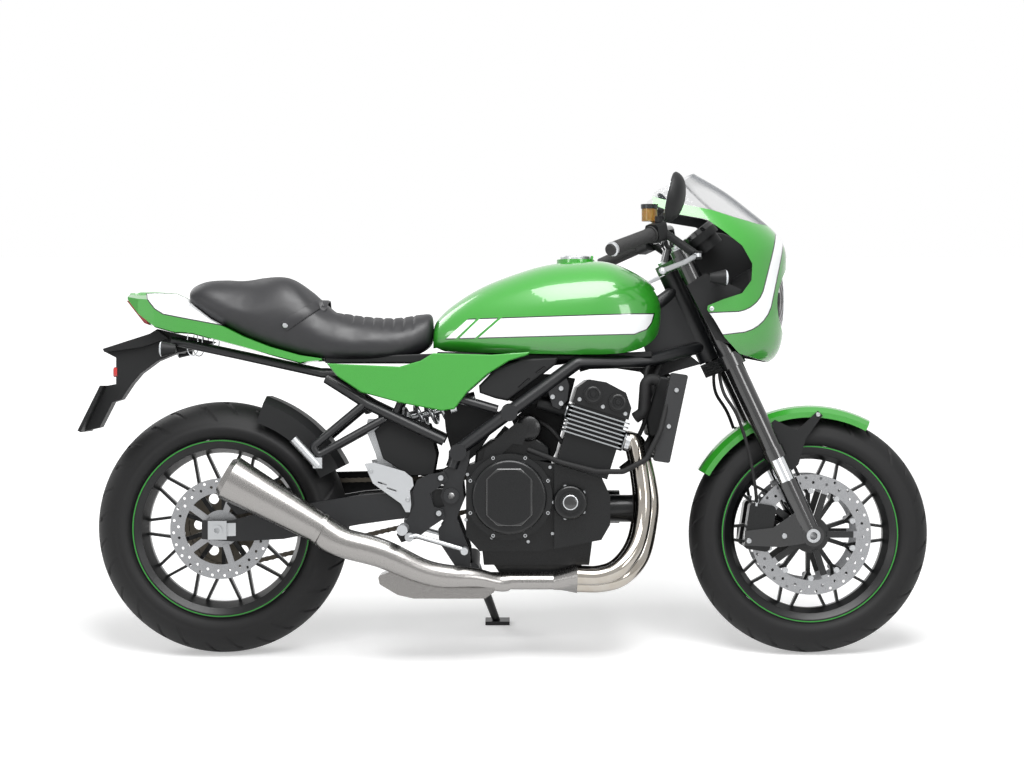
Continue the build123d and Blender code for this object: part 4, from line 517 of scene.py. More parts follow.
# %% Clear parts
screen_clear, tree, surface = finish("smoked_acrylic", "2C3640", roughness=0.03, ior=1.49)
slant = node(tree, "LayerWeight", {"Blend": 0.5})
spread(tree, slant.outputs["Facing"], 0.06, 0.85, surface.inputs["Alpha"], 0.6, 0.97)
haze = node(tree, "TexNoise", {"Scale": 1000 / 60}, {"Vector": upright(tree).outputs["Vector"]})
spread(tree, haze.outputs["Fac"], 0.02, 0.05, surface.inputs["Roughness"], 0.0, 1.0)
red_lens, tree, surface = finish("red_acrylic", "B3140F", roughness=0.1, ior=1.49, coat_weight=1.0)
grain(tree, surface, 3.0, 0.4, 0.3)
smoke_lens, tree, surface = finish("clear_lens", "C9CED2", roughness=0.12, ior=1.49, coat_weight=1.0)
grain(tree, surface, 3.0, 0.3, 0.3)
amber, tree, surface = finish("fluid_pot", "A8792C", roughness=0.25, ior=1.5, subsurface_weight=0.3)
grain(tree, surface, 6.0, 0.05, 0.1)
LID_FOOT = 1101.5
above_lid = dot_mm(tree, upright(tree).outputs["Vector"], (0, 0, 1), LID_FOOT)
lid = math(tree, "GREATER_THAN", above_lid, 0.0)
tree.links.new(mix(tree, lid, linear("7E5F28"), linear("121315")), surface.inputs["Base Color"])
mirror_face, tree, surface = finish("mirror_glass", "E4E8EA", metallic=1.0, roughness=0.02)
grain(tree, surface, 12.0, 0.01, 0.02, rough=(0.01, 0.04))
leather, tree, surface = finish("seat_vinyl", "131316", roughness=0.42)
place = upright(tree)
pores = node(tree, "TexVoronoi", {"Scale": 1000 / 2.2}, {"Vector": place.outputs["Vector"]},
             feature="DISTANCE_TO_EDGE")
bump = node(tree, "Bump", {"Strength": 0.35, "Distance": 0.00015}, {"Height": pores.outputs["Distance"]})
tree.links.new(bump.outputs["Normal"], surface.inputs["Normal"])
cloud = node(tree, "TexNoise", {"Scale": 1000 / 40, "Detail": 3.0}, {"Vector": place.outputs["Vector"]})
spread(tree, cloud.outputs["Fac"], 0.4, 0.56, surface.inputs["Roughness"])

# %% [markdown]
# A tyre is cast in a mould whose ribs press the tread's grooves. The grid's columns lean with the
# grooves, so that each groove's edge follows a grid line and stays sharp with few points; a groove
# is where some columns are set lower. Cutting each groove with a boolean would be slow and rough.

# %% Tyres with tread
def side_wall(radius, width, crown):
    """From the crown's end down to the bead: (radius, y) on a smooth line."""
    end = np.radians(63)
    start = (radius - crown + crown * np.cos(end), crown * np.sin(end))
    widest = (222 + 0.3 * (radius - 222), width / 2)
    lip = (232.0, width * 0.47)
    return path_points([(*start, 0), (*widest, 0), (*lip, 0), (222.4, 0.4 * width, 0)], 16)[1:, :2]


def tread(axle, radius, width, crown, families=14, step=24, groove=4.0):
    """A closed ring of quads. Across: r = c + k cos a, y = k sin a, then the side walls. Around:
    x = r sin t, z = r cos t with t = column + lean |a|^1.4. A groove takes its depth off r."""
    a = np.radians(np.linspace(-63, 63, 75))
    crown_r, crown_y = radius - crown + crown * np.cos(a), crown * np.sin(a)
    wall = side_wall(radius, width, crown)
    r = np.concatenate([wall[::-1, 0], crown_r, wall[:, 0]])
    y = np.concatenate([-wall[::-1, 1], crown_y, wall[:, 1]])
    across = np.concatenate([np.full(len(wall), -1.0), a / a[-1], np.full(len(wall), 1.0)])
    columns = families * 2 * step
    number = np.arange(columns)
    share, phase = np.abs(across)[:, None], number[None] % (2 * step)
    long_cut = (phase < 4) & (share > 0.12) & (share < 0.74)
    short_cut = (phase >= step) & (phase < step + 4) & (share > 0.42) & (share < 0.97)
    r = r[:, None] - groove * (long_cut | short_cut)
    t = 2 * np.pi * number[None] / columns + 0.17 * share**1.4
    y = np.broadcast_to(y[:, None], t.shape)
    points = np.stack([axle[0] + r * np.sin(t), y, axle[2] + r * np.cos(t)], -1)
    return points, quads(*t.shape, close_rows=True, close_columns=True)


for name, body, axle, sizes in (
    ("front_tyre", "front_wheel", FRONT_AXLE, (300.0, 120.0, 62.0)),
    ("rear_tyre", "rear_wheel", REAR_AXLE, (315.0, 180.0, 92.0)),
):
    piece = mesh_piece(name + "_tread", *tread(axle, *sizes), tyre_rubber, body, "tyre")
    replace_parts(piece, name)
    print(name, len(piece.data.polygons), "quads")

# %% [markdown]
# The seat is foam under vinyl, pulled tight over its base. A copy of its solid is made a little
# smaller, given an even skin of small faces, and blown up as cloth with air pressure inside, while
# its flat underside is held. The sewn channels of the rider's part come last, as shallow furrows
# across the bike at an even spacing.

# %% The padded seat
def evaluated(piece):
    """The piece's mesh with its modifiers applied, in place of the mesh it had."""
    graph = bpy.context.evaluated_depsgraph_get()
    mesh = bpy.data.meshes.new_from_object(piece.evaluated_get(graph))
    piece.modifiers.clear()
    piece.data = mesh
    return mesh


def points_of(mesh):
    flat = np.empty(3 * len(mesh.vertices))
    mesh.vertices.foreach_get("co", flat)
    return flat.reshape(-1, 3)


def upright_of(points):
    """The inverse of park(): the frame's metres back to the upright bike's millimetres."""
    x, y, z = np.moveaxis(points * 1000, -1, 0)
    c, s = np.cos(LEAN), np.sin(LEAN)
    return np.stack([x + MIDDLE[0], (y + MIDDLE[1]) * c - z * s, (y + MIDDLE[1]) * s + z * c], -1)


SHRINK, SWELL = 0.002, 0.008
seat_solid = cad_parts["seat"]
seat_piece = bpy.data.objects.new("seat_padded", seat_solid.data.copy())
bpy.context.scene.collection.objects.link(seat_piece)
points = points_of(seat_piece.data)
middle, size = (points.max(0) + points.min(0)) / 2, np.ptp(points, axis=0)
start = middle + (points - middle) * (1 - 2 * SHRINK / size)
seat_piece.data.vertices.foreach_set("co", start.ravel())
skin = seat_piece.modifiers.new("skin", "REMESH")
skin.mode, skin.voxel_size = "VOXEL", 0.0062
evaluated(seat_piece)
start = points_of(seat_piece.data)

foot = upright_of(start)
held = seat_piece.vertex_groups.new(name="held")
normals = np.empty(3 * len(start))
seat_piece.data.vertices.foreach_get("normal", normals)
under = np.nonzero(normals.reshape(-1, 3)[:, 2] < -0.5)[0]
held.add(under.tolist(), 1.0, "REPLACE")
cloth = seat_piece.modifiers.new("air", "CLOTH")
cloth.settings.use_pressure, cloth.settings.uniform_pressure_force = True, 1.2
cloth.settings.vertex_group_mass = "held"
cloth.settings.effector_weights.gravity = 0.0
for moment in range(1, 21):
    bpy.context.scene.frame_set(moment)
evaluated(seat_piece)
bpy.context.scene.frame_set(1)
moved = points_of(seat_piece.data) - start
far = np.linalg.norm(moved, axis=1, keepdims=True)
print("seat: cloth moved it by up to", round(float(far.max()) * 1000, 1), "mm before the cap")
start = start + moved * np.minimum(1.0, SWELL / np.maximum(far, 1e-9))
seat_piece.data.vertices.foreach_set("co", start.ravel())

smoother = seat_piece.modifiers.new("even", "SMOOTH")
smoother.factor, smoother.iterations = 0.5, 9
finer = seat_piece.modifiers.new("finer", "SUBSURF")
finer.levels = finer.render_levels = 1
mesh = evaluated(seat_piece)

CHANNEL_STEP, CHANNEL_DEPTH, CHANNEL_WIDTH = 25.0, 4.5, 2.8
points = points_of(mesh)
place = upright_of(points)
x, y, z = place.T
phase = (x + 232 + CHANNEL_STEP / 2) % CHANNEL_STEP - CHANNEL_STEP / 2
rider = 1 / (1 + np.exp((x + 250) / 6)) / (1 + np.exp(-(x + 432) / 6))
top = 1 / (1 + np.exp((np.abs(y) - 96) / 4)) / (1 + np.exp(-(z - 800) / 6))
furrow = CHANNEL_DEPTH * np.exp(-((phase / CHANNEL_WIDTH) ** 2)) * rider * top
place[:, 2] -= furrow
mesh.vertices.foreach_set("co", park(place).ravel())
mesh.polygons.foreach_set("use_smooth", np.ones(len(mesh.polygons), bool))
mesh.materials.clear()
mesh.materials.append(leather)
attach(seat_piece, "chassis")
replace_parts(seat_piece, "seat")
print("seat:", len(mesh.vertices), "points")

# %% [markdown]
# A strap lies over the seat between its two parts, held by a stud on each side. It follows the
# seat: rays from outside find its surface, and the strap's width is laid out there, square to
# the line that leads away from the seat's middle.

# %% Strap and studs
seat_faces = [tuple(f.vertices) for f in mesh.polygons]
seat_tree = BVHTree.FromPolygons([tuple(p) for p in points_of(mesh)], seat_faces)
STRAP_LIFT, STRAP_HALF, STRAP_THICK = 3.0, 13, 2.4


def on_seat(start, way, lift):
    """Where rays from the upright points along way meet the seat, lifted off it by some mm."""
    way = np.asarray(way, float)
    found = []
    for origin in start:
        a, b = park([origin, origin + way])
        hit = seat_tree.ray_cast(Vector(a), Vector(b - a))[0]
        if hit is not None:
            found.append(upright_of(np.array(hit)) - way / np.linalg.norm(way) * lift)
    return np.array(found)


side = np.linspace((-574, -220, 818), (-494, -220, 872), 16)
over = np.linspace((-484, -96, 1000), (-480, 0, 1000), 14)
flank, crest = on_seat(side, (0, 1, 0), STRAP_LIFT), on_seat(over, (0, 0, -1), STRAP_LIFT)
half = np.vstack([flank, crest])
whole = np.vstack([half, (half * [1, -1, 1])[-2::-1]])
smooth = path_points(whole[::3], 90)
way = np.gradient(smooth, axis=0)
way /= np.linalg.norm(way, axis=1, keepdims=True)
out = smooth * [0, 1, 1] - [0, 0, 835]
across_strap = np.cross(way, out)
across_strap /= np.linalg.norm(across_strap, axis=1, keepdims=True)
thick = np.cross(across_strap, way) * STRAP_THICK
fold_in = STRAP_HALF - 2
section = [
    (-STRAP_HALF, -1), (-STRAP_HALF, 0.6), (-fold_in, 1),
    (fold_in, 1), (STRAP_HALF, 0.6), (STRAP_HALF, -1),
]
strap = np.stack([smooth + across_strap * w + thick * t for w, t in section], 1)
strap_faces = capped(strap, quads(len(strap), 6, close_columns=True), len(strap), 6)
mesh_piece("seat_strap", strap, strap_faces, leather, "chassis", "seat_leather")

flat_head = [(7.5, -6), (7.5, 1.5), (6.5, 2.6), (3.0, 3.0)]
studs = [turned(flat_head, spot, (0, np.sign(spot[1]), 0)) for spot in mirrored([flank[0] + [4, -1.0, 4]])]
mesh_piece("strap_studs", *join(studs), bright_steel, "chassis", "bright_steel")

# %% [markdown]
# Bolts are what makes a machine look real: covers, brakes and mounts are held by dozens of them.
# One helper turns a cap screw on a lathe, with its bevelled edge and socket, and repeats it at a
# list of places. Each shank runs a few millimetres into its part, so that no head floats.

# %% Cap screws
def screws(name, spots, way, radius, height, body, metal=bright_steel, sink=6.0):
    """Screws at upright spots, their heads towards way; the list may give each one its own way."""
    profile = [(radius, -sink), (radius, 0.75 * height), (0.85 * radius, height),
               (0.5 * radius, height), (0.44 * radius, 0.45 * height)]
    ways = np.broadcast_to(np.asarray(way, float), (len(spots), 3))
    parts = [turned(profile, spot, w, 16) for spot, w in zip(spots, ways)]
    return mesh_piece(name, *join(parts), metal, body, "bright_steel")


def circle(centre, radius, count, y, first=0.0):
    """Places around a circle that faces sideways: x = cx + r cos t, z = cz + r sin t."""
    t = np.radians(first) + 2 * np.pi * np.arange(count) / count
    return np.stack([centre[0] + radius * np.cos(t), np.full(count, y), centre[1] + radius * np.sin(t)], -1)


def both_sides(name, spots, radius, height, body, sink=6.0):
    """Screws on the right side at the spots, facing right, and on the left, facing left."""
    ways = mirrored([RIGHT] * len(spots))
    return screws(name, mirrored(spots), ways, radius, height, body, sink=sink)


RIGHT, LEFT = (0, -1, 0), (0, 1, 0)
CLUTCH, CRANK = (-17.0, 399.0), (133.0, 386.0)
screws("clutch_cover_screws", circle(CLUTCH, 103, 8, -168.3, 22.5), RIGHT, 5.0, 5.0, "chassis")
screws("crank_cover_screws", circle(CRANK, 41, 5, -170.3, 36), RIGHT, 4.4, 4.5, "chassis")
screws("alternator_screws", circle(CRANK, 66, 8, 202.3, 10), LEFT, 4.4, 1.5, "chassis", sink=14)
cover_spots = [(-96, 148, 436), (-96, 148, 326), (34, 148, 452), (34, 148, 340), (-30, 148, 456)]
screws("sprocket_cover_screws", cover_spots, LEFT, 4.6, 4.0, "chassis")
both_sides("radiator_screws", [(392.6, -186, 660.8), (373.5, -186, 572.2)], 6.0, 4.5, "chassis")
both_sides("hanger_bolts", [(-185, -158, 445), (-190, -158, 358)], 7.5, 5.5, "chassis")
both_sides("guard_screws", [(-357, -161.3, 462), (-266, -161.3, 392)], 5.5, 3.5, "chassis", sink=3)
both_sides("fender_screws", [(752.5, -74.3, 600.0)], 5.5, 3.0, "steering")
both_sides("cowl_screws", [(480, -177, 860.7)], 5.5, 2.5, "steering", sink=8)
both_sides("caliper_bolts", [(576, -117, 288), (664, -117, 300)], 7.0, 6.0, "steering")
t = np.radians(30 + 60 * np.arange(6))
cap_ring = np.stack([150 + 28 * np.cos(t), 28 * np.sin(t), np.full(6, 997.3)], -1)
screws("cap_ring_screws", cap_ring, (0, 0, 1), 2.8, 1.2, "fuel_cap", sink=3)
for name, y in (("right", -70), ("left", 70)):
    parts = [turned([(7, -3.6), (7, 3.6)], spot, sides=20) for spot in circle((735, 300.77), 109, 10, y, 18)]
    mesh_piece("disc_bobbins_" + name, *join(parts), bright_steel, "front_wheel", "bright_steel")

# %% [markdown]
# The fork legs end in bright caps with a preload adjuster, and the stem in a nut. The bar's ends
# have a bright ring between the rubber and the weight.

# %% Fork caps, stem nut and bar rings
RAKE = np.radians(25.0)
BOTH = np.array([(1, 1, 1), (1, -1, 1)])
UP_FORK = np.array([-np.sin(RAKE), 0, np.cos(RAKE)])
STEM_FOOT = FRONT_AXLE - 38 * np.array([np.cos(RAKE), 0, np.sin(RAKE)])
cap_profile = [(21, -1), (21, 3), (16.5, 5), (16.5, 11), (9, 12), (9, 20), (7.5, 21.5)]
caps = [turned(cap_profile, FRONT_AXLE + UP_FORK * 782 + [0, y, 0], UP_FORK, 24) for y in (-103, 103)]
mesh_piece("fork_caps", *join(caps), alloy, "steering", "alloy")
nut = turned([(19, -2), (19, 7), (17, 9), (9, 9.5)], STEM_FOOT + UP_FORK * 766, UP_FORK, 24)
mesh_piece("stem_nut", *nut, bright_steel, "steering", "bright_steel")

BAR_INNER, BAR_END = np.array([350.0, -250, 1047]), np.array([232.0, -392, 997])
bar_way = BAR_END - BAR_INNER
ring = [(11.5, 2), (17.2, 2), (17.6, 3), (17.6, 9), (14.6, 11), (11.5, 11)]
rings = [turned(ring, BAR_END * side, bar_way * side, 32) for side in BOTH]
mesh_piece("bar_rings", *join(rings), alloy, "steering", "alloy")

# %% [markdown]
# The mirrors' glass sits in its shell facing the rider, and the lamps have domed lenses: all of
# these are lathe shapes again, a flat disc for the glass and a shallow dome for each lens.

# %% Mirror glass and signal lenses
MIRROR_SPOT, MIRROR_WAY = np.array([372.0, -346, 1122]), np.array([-0.97, 0.12, 0.2])
MIRROR_WAY = MIRROR_WAY / np.linalg.norm(MIRROR_WAY)
glass = [(55, 7.0), (55, 8.4), (54, 8.8)]
discs = [turned(glass, MIRROR_SPOT * side, MIRROR_WAY * side, 64) for side in BOTH]
mesh_piece("mirror_glass", *join(discs), mirror_face, "steering", "chrome")

a = np.linspace(0, np.pi / 2, 8)
dome = np.stack([18.6 * np.cos(a) + 0.01, 7.0 * np.sin(a)], -1)
for name, body, x, y, z, way in (
    ("front", "steering", 513.2, 196, 936, 1),
    ("rear", "chassis", -870.2, 168, 762, -1),
):
    lenses = [turned(dome, (x, side * y, z), (way, 0, 0), 32) for side in (-1, 1)]
    mesh_piece(name + "_signal_lenses", *join(lenses), smoke_lens, body, "lens")

# %% [markdown]
# The two meters face the rider: a bezel, a dark face and a ring of plain strokes around a small
# hub. The strokes are thin raised bars, turned about the meter's own axis.

# %% Meters
PANEL = np.array([470.0, 0, 1034])
panel_up = np.array([-np.cos(np.radians(52)), 0, np.sin(np.radians(52))])
panel_side, panel_top = np.array([0.0, 1, 0]), np.cross(panel_up, [0.0, 1, 0])
bezel = [(44.6, 20), (44.6, 31), (42.5, 33), (39.5, 33), (38.5, 30.5)]
bezels, faces, strokes = [], [], []
for y in (-58, 58):
    centre = PANEL + panel_side * y
    bezels.append(turned(bezel, centre, panel_up, 64))
    faces.append(turned([(38.4, 29.5), (38.4, 31.0)], centre, panel_up, 64))
    for n in range(28):
        t = np.radians(-135 + 10 * n)
        out = np.cos(t) * panel_top + np.sin(t) * panel_side
        wide = np.cross(panel_up, out)
        inner = 29 if n % 3 else 26
        flat = [out * r + wide * w for r, w in ((inner, -0.6), (inner, 0.6), (35, 0.6), (35, -0.6))]
        box = np.array([[centre + p + panel_up * h for p in flat] for h in (30.9, 31.4)])
        strokes.append((box, capped(box, quads(2, 4, close_columns=True), 2, 4)))
    strokes.append(turned([(4, 30.9), (4, 33), (3, 33.5)], centre, panel_up, 16))
mesh_piece("meter_bezels", *join(bezels), wheel_black, "steering", "black_gloss")
mesh_piece("meter_faces", *join(faces), moulded_black, "steering", "black_plastic")
mesh_piece("meter_strokes", *join(strokes), smoke_lens, "steering", "alloy", smooth=False)

# %% [markdown]
# Brake hoses run from the lower yoke, behind the fork legs, down to the calipers. They are held
# at both ends and turn with the fork. Two wire hooks hang under the tail, and a red reflector
# closes the plate carrier.

# %% Brake hoses, hooks and reflector
hose = np.array([
    (508, -60, 716), (506, -100, 690), (515, -128, 650), (545, -132, 600),
    (572, -130, 520), (590, -122, 430), (598, -98, 376),
])
hoses = [tube(path_points(line, 60), 4.2, 12) for line in (hose, hose * [1, -1, 1])]
mesh_piece("brake_hoses", *join(hoses), rubber_black, "steering", "black_rubber")
ferrule = [(6.2, -9), (6.2, 9)]
ends = [turned(ferrule, spot, (0.15, 0, 1), 16) for spot in mirrored([(597, -99, 382)])]
mesh_piece("hose_ferrules", *join(ends), bright_steel, "steering", "bright_steel")

bend = [(-819, 800), (-821, 768), (-816, 752), (-807, 747), (-798, 752), (-793, 768), (-796, 800)]
first = np.array([(x, -62, z) for x, z in bend])
moves = [(dx, dy, dz) for dx, dz in ((0, 0), (38, 12)) for dy in (0, 124)]
wires = [tube(path_points(first + move, 40), 1.5, 10) for move in moves]
mesh_piece("tail_hooks", *join(wires), bright_steel, "chassis", "bright_steel")

def boxy(wave):
    """A sine or cosine pushed outwards: sign(w) |w|^0.35 turns a circle into a rounded box."""
    return np.sign(wave) * np.abs(wave) ** 0.35


corner = np.linspace(0, 2 * np.pi, 40, endpoint=False)
oval = np.stack([np.zeros(40), 34 * boxy(np.cos(corner)), 13 * boxy(np.sin(corner))], -1)
layers = [(-1000, 1.0), (-1008, 1.0), (-1010, 0.94)]
box = np.array([oval * [1, scale, scale] + [x, 0, 706] for x, scale in layers])
box_faces = capped(box, quads(3, 40, close_columns=True), 3, 40)
mesh_piece("rear_reflector", box, box_faces, red_lens, "chassis", "red_lens")

# %% [markdown]
# The head cover's round ends are closed by turned caps with a groove, and a bright block sets the
# chain's tension at each end of the swingarm.

# %% Cam caps and chain adjusters
def in_engine(fore, y, up):
    """A point in the cylinders' tilted frame, as the CAD has it: fore along the fins, up the bores."""
    c, s = np.cos(TILT), np.sin(TILT)
    return np.array([CYLINDER[0] + fore * c + up * s, y, CYLINDER[1] - fore * s + up * c])


BASE = 7 * 10.6 / 2 + 34
cam_profile = [(19, -1), (19, 2.5), (17.5, 3.5), (13, 3.5), (12, 1.8), (8, 1.8), (7, 3.2), (3, 3.6)]
cam_caps = []
for fore in (-30, 34):
    for side in (-1, 1):
        cam_caps.append(turned(cam_profile, in_engine(fore, side * (HALF_WIDTH + 2), BASE), (0, side, 0), 48))
mesh_piece("cam_caps", *join(cam_caps), engine_black, "chassis", "engine_black")
bolt_y = HALF_WIDTH - 8
head_bolts = [in_engine(fore, side * bolt_y, BASE - 22) for fore in (-58, 2, 60) for side in (-1, 1)]
bolt_ways = [(0, np.sign(p[1]), 0) for p in head_bolts]
screws("head_cover_screws", head_bolts, bolt_ways, 5.5, 4.0, "chassis")

ARM_OUT = 148.0
adjusters = []
for side in (-1, 1):
    block = np.array([(-752, 0, 300), (-752, 0, 332), (-690, 0, 334), (-690, 0, 302)])
    block = block + [0, side * ARM_OUT, 0]
    box = np.array([block, block + [0, side * 3.0, 0]])
    adjusters.append((box, capped(box, quads(2, 4, close_columns=True), 2, 4)))
mesh_piece("chain_adjusters", *join(adjusters), alloy, "chassis", "alloy", smooth=False)

# %% [markdown]
# Little of an engine bay is empty. The starter and the breather sit on the gearbox, plates bolt the
# head to the frame, and a fuel rail joins the throttle bodies. Dark sheets close the tank and the
# seat from below; they stand partly for the black parts there and partly for painted shade. They
# are plates cut to an outline with bevelled edges, and turned bodies.

# %% Parts around the engine
def plate(name, outlines, finish, body, slot, bevel=2.0):
    """Plates from (x, z) outlines, each with its two y limits, their edges bevelled."""
    parts = []
    for outline, y_low, y_high in outlines:
        flat = np.array([(x, 0, z) for x, z in outline], float)
        box = np.array([flat + [0, y_low, 0], flat + [0, y_high, 0]])
        parts.append((box, capped(box, quads(2, len(flat), close_columns=True), 2, len(flat))))
    piece = mesh_piece(name, *join(parts), finish, body, slot)
    edge = piece.modifiers.new("bevel", "BEVEL")
    edge.width, edge.segments = bevel / 1000, 2
    return piece


BREATHER = [(-104, 470), (-100, 508), (-64, 536), (-10, 548), (44, 548), (84, 520), (88, 482)]
plate("breather", [(BREATHER, -92, 92)], engine_black, "chassis", "engine_black", 6)
starter_profile = [(20, -112), (30, -108), (33, -96), (33, 96), (30, 108), (20, 112)]
starter = turned(starter_profile, (30, 0, 566), sides=40)
mesh_piece("starter", *starter, engine_black, "chassis", "engine_black")
rail = turned([(9, -128), (9, 128)], (112, 0, 668), sides=20)
clamps = [turned([(15, -9), (15, 9)], (112, y, 668), sides=24) for y in (-99, -33, 33, 99)]
mesh_piece("fuel_rail", *join([rail, *clamps]), moulded_black, "chassis", "black_plastic")

HEAD_PLATE = [(76, 664), (92, 690), (118, 706), (132, 672), (128, 636), (108, 612), (90, 620)]
head_plates = [(HEAD_PLATE, -137, -131), (HEAD_PLATE, 131, 137)]
plate("head_plates", head_plates, frame_black, "chassis", "frame_paint", 1.5)
both_sides("head_plate_bolts", [(111, -137, 665), (90, -137, 644), (111, -137, 628)], 6.5, 4.5, "chassis")

# Painted shade in part: these dark sheets fill the shaded space under the tank and the seat.
TANK_PAN_AND_SHADE = [(-196, 734), (-196, 756), (150, 748), (338, 758), (338, 742), (150, 735)]
SEAT_PAN_AND_SHADE = [(-474, 728), (-474, 742), (-200, 752), (-200, 728)]
plate("pans_and_shade", [(TANK_PAN_AND_SHADE, -104, 104), (SEAT_PAN_AND_SHADE, -108, 108)], moulded_black, "chassis", "black_plastic", 3)

CASE_SCREWS = [(-66, 470), (-120, 452), (-124, 340), (-60, 296), (30, 286), (84, 470), (90, 306)]
case_spots = [(x, -116.3, z) for x, z in CASE_SCREWS]
screws("case_screws", case_spots, RIGHT, 4.6, 4.5, "chassis")


# %% [markdown]
# The clutch cover has a tall eight-sided face, and the cover over the crankshaft's end a bright
# ring around a plain disc. Both are pressed or cast and then painted, so each is a thin body of
# its own here, sunk a few millimetres into the cover behind it.

# %% Faces of the covers
CLUTCH_WINDOW = [
    (-47, 328), (-75, 355), (-75, 443), (-47, 470), (13, 470), (41, 443), (41, 355), (13, 328),
]
plate("clutch_window", [(CLUTCH_WINDOW, -194.5, -186)], wheel_black, "chassis", "black_gloss", 3)
badge_spot = (CRANK[0], -192.4, CRANK[1])
ring = [(18.5, -4), (18.5, 1.8), (17.5, 2.4), (16.0, 2.4), (15.5, 1.2)]
mesh_piece("crank_badge_ring", *turned(ring, badge_spot, RIGHT, 48), alloy, "chassis", "alloy")
disc = [(15.4, 0.5), (15.4, 1.6), (14.8, 1.9)]
mesh_piece("crank_badge", *turned(disc, badge_spot, RIGHT, 48), wheel_black, "chassis", "black_gloss")

# %% [markdown]
# Brackets, wiring trays and hoses fill the bay between the frame's tubes, where the real bike
# lets hardly any light through. Flat dark plates near the middle do that with few faces: they stand
# partly for those parts and partly for the shade between them, painted shade in black.
# Formed hoses run down behind the radiator.

# %% Dark plates and hoses in the engine bay, the plates partly painted shade
BAY = [
    [(-184, 634), (-28, 604), (-96, 503), (-126, 478), (-161, 503), (-176, 559)],
    [(-28, 572), (40, 520), (80, 458), (-40, 437), (-111, 437), (-106, 478)],
    [(-10, 584), (111, 696), (149, 690), (101, 508), (81, 463), (30, 478)],
    [(149, 746), (439, 746), (464, 726), (393, 706), (338, 681), (312, 706), (212, 721), (161, 706)],
]
# Painted shade in part: black sheets near the bay's middle stand for its parts and the shade between them.
bay_parts_and_shade = [(outline, -30, -24) for outline in BAY]
plate("bay_parts_and_shade_plates", bay_parts_and_shade, moulded_black, "chassis", "black_plastic", 1.5)
bay_lines = (
    (9, [(368, -52, 748), (343, -60, 673), (352, -66, 584), (316, -70, 508), (262, -70, 462)]),
    (5.5, [(340, -84, 742), (322, -96, 700), (330, -100, 640), (318, -104, 580), (296, -104, 530)]),
    (6, [(30, -60, 596), (90, -84, 560), (150, -96, 480)]),
)
bay_hoses = [tube(path_points(line, 50), radius, 16) for radius, line in bay_lines]
mesh_piece("bay_hoses", *join(bay_hoses), rubber_black, "chassis", "black_rubber")

# %% [markdown]
# Three more shapes close what one would see through: covers beside the shock, the shroud of the
# radiator's fan, and the stay that carries the meters and the cowl from the steering head. The
# covers and the stay are dark sheets that stand partly for those parts and partly for painted shade.

# %% Shock covers, fan shroud and meter stay; the covers and the stay partly painted shade
# Painted shade in part: dark sheets beside the shock fill the shaded space there.
SHOCK_COVER_AND_SHADE = [(-352, 560), (-300, 606), (-215, 575), (-196, 500), (-205, 450), (-262, 448), (-330, 490)]
covers = [(SHOCK_COVER_AND_SHADE, y, y + 5) for y in (-100, 95)]
plate("inner_plates", covers, moulded_black, "chassis", "black_plastic", 2)
FAN = [(390, 690), (356, 696), (322, 590), (330, 545), (362, 548)]
plate("fan_shroud", [(FAN, -100, 118)], moulded_black, "chassis", "black_plastic", 5)
# Painted shade in part: the dark stay fills the shaded gap between the fork and the cowl.
METER_STAY_AND_SHADE = [
    (446, 872), (500, 820), (560, 792), (606, 800), (612, 980),
    (572, 1036), (520, 1056), (470, 1060), (440, 1030),
]
plate("meter_stay_and_shade", [(METER_STAY_AND_SHADE, -9, 9)], moulded_black, "steering", "black_plastic", 3)

# %% [markdown]
# The header pipes are bent from one tube each with wide, even bends. The solids carry them as
# straight runs with short bends; here a smooth line through the same corners gives each pipe the
# long curve of a mandrel bend, with a collar near each port.

# %% Header pipes
PORT_PITCH, HEADER_RADIUS = 84.0, 20.5
INNER, OUTER = HEADER_RADIUS - 1, HEADER_RADIUS + 3
COLLAR = [(INNER, -7), (OUTER, -6), (OUTER, 5), (INNER, 6)]
pipes, collars = [], []
for n in range(4):
    y, foot = (n - 1.5) * PORT_PITCH, np.array([150.0, -62 - 44 * (3 - n), 184 if n % 2 else 206])
    port, knee = (in_engine(HALF_DEPTH + reach, y, -16) for reach in (2.3, 42.3 if n % 2 else 29.3))
    outer = [(336, 400), (330, 318), (308, 246), (262, 200), (210, 184)]
    inner = [(314, 410), (310, 332), (290, 270), (250, 224), (204, 206)]
    shares = (0.04, 0.3, 0.7, 1, 1)
    bends = [(x, y + (foot[1] - y) * share, z) for (x, z), share in zip(outer if n % 2 else inner, shares)]
    line = path_points([port, knee, *bends, foot], 90)
    pipes.append(tube(line, HEADER_RADIUS, 40))
    collars.append(turned(COLLAR, port + (knee - port) * 0.3, knee - port, 40))
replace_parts(mesh_piece("header_pipes", *join(pipes), polished, "chassis", "pipe_steel"), "headers")
mesh_piece("header_collars", *join(collars), bright_steel, "chassis", "bright_steel")

# %% [markdown]
# Every solid that keeps its CAD shape now gets its finish.

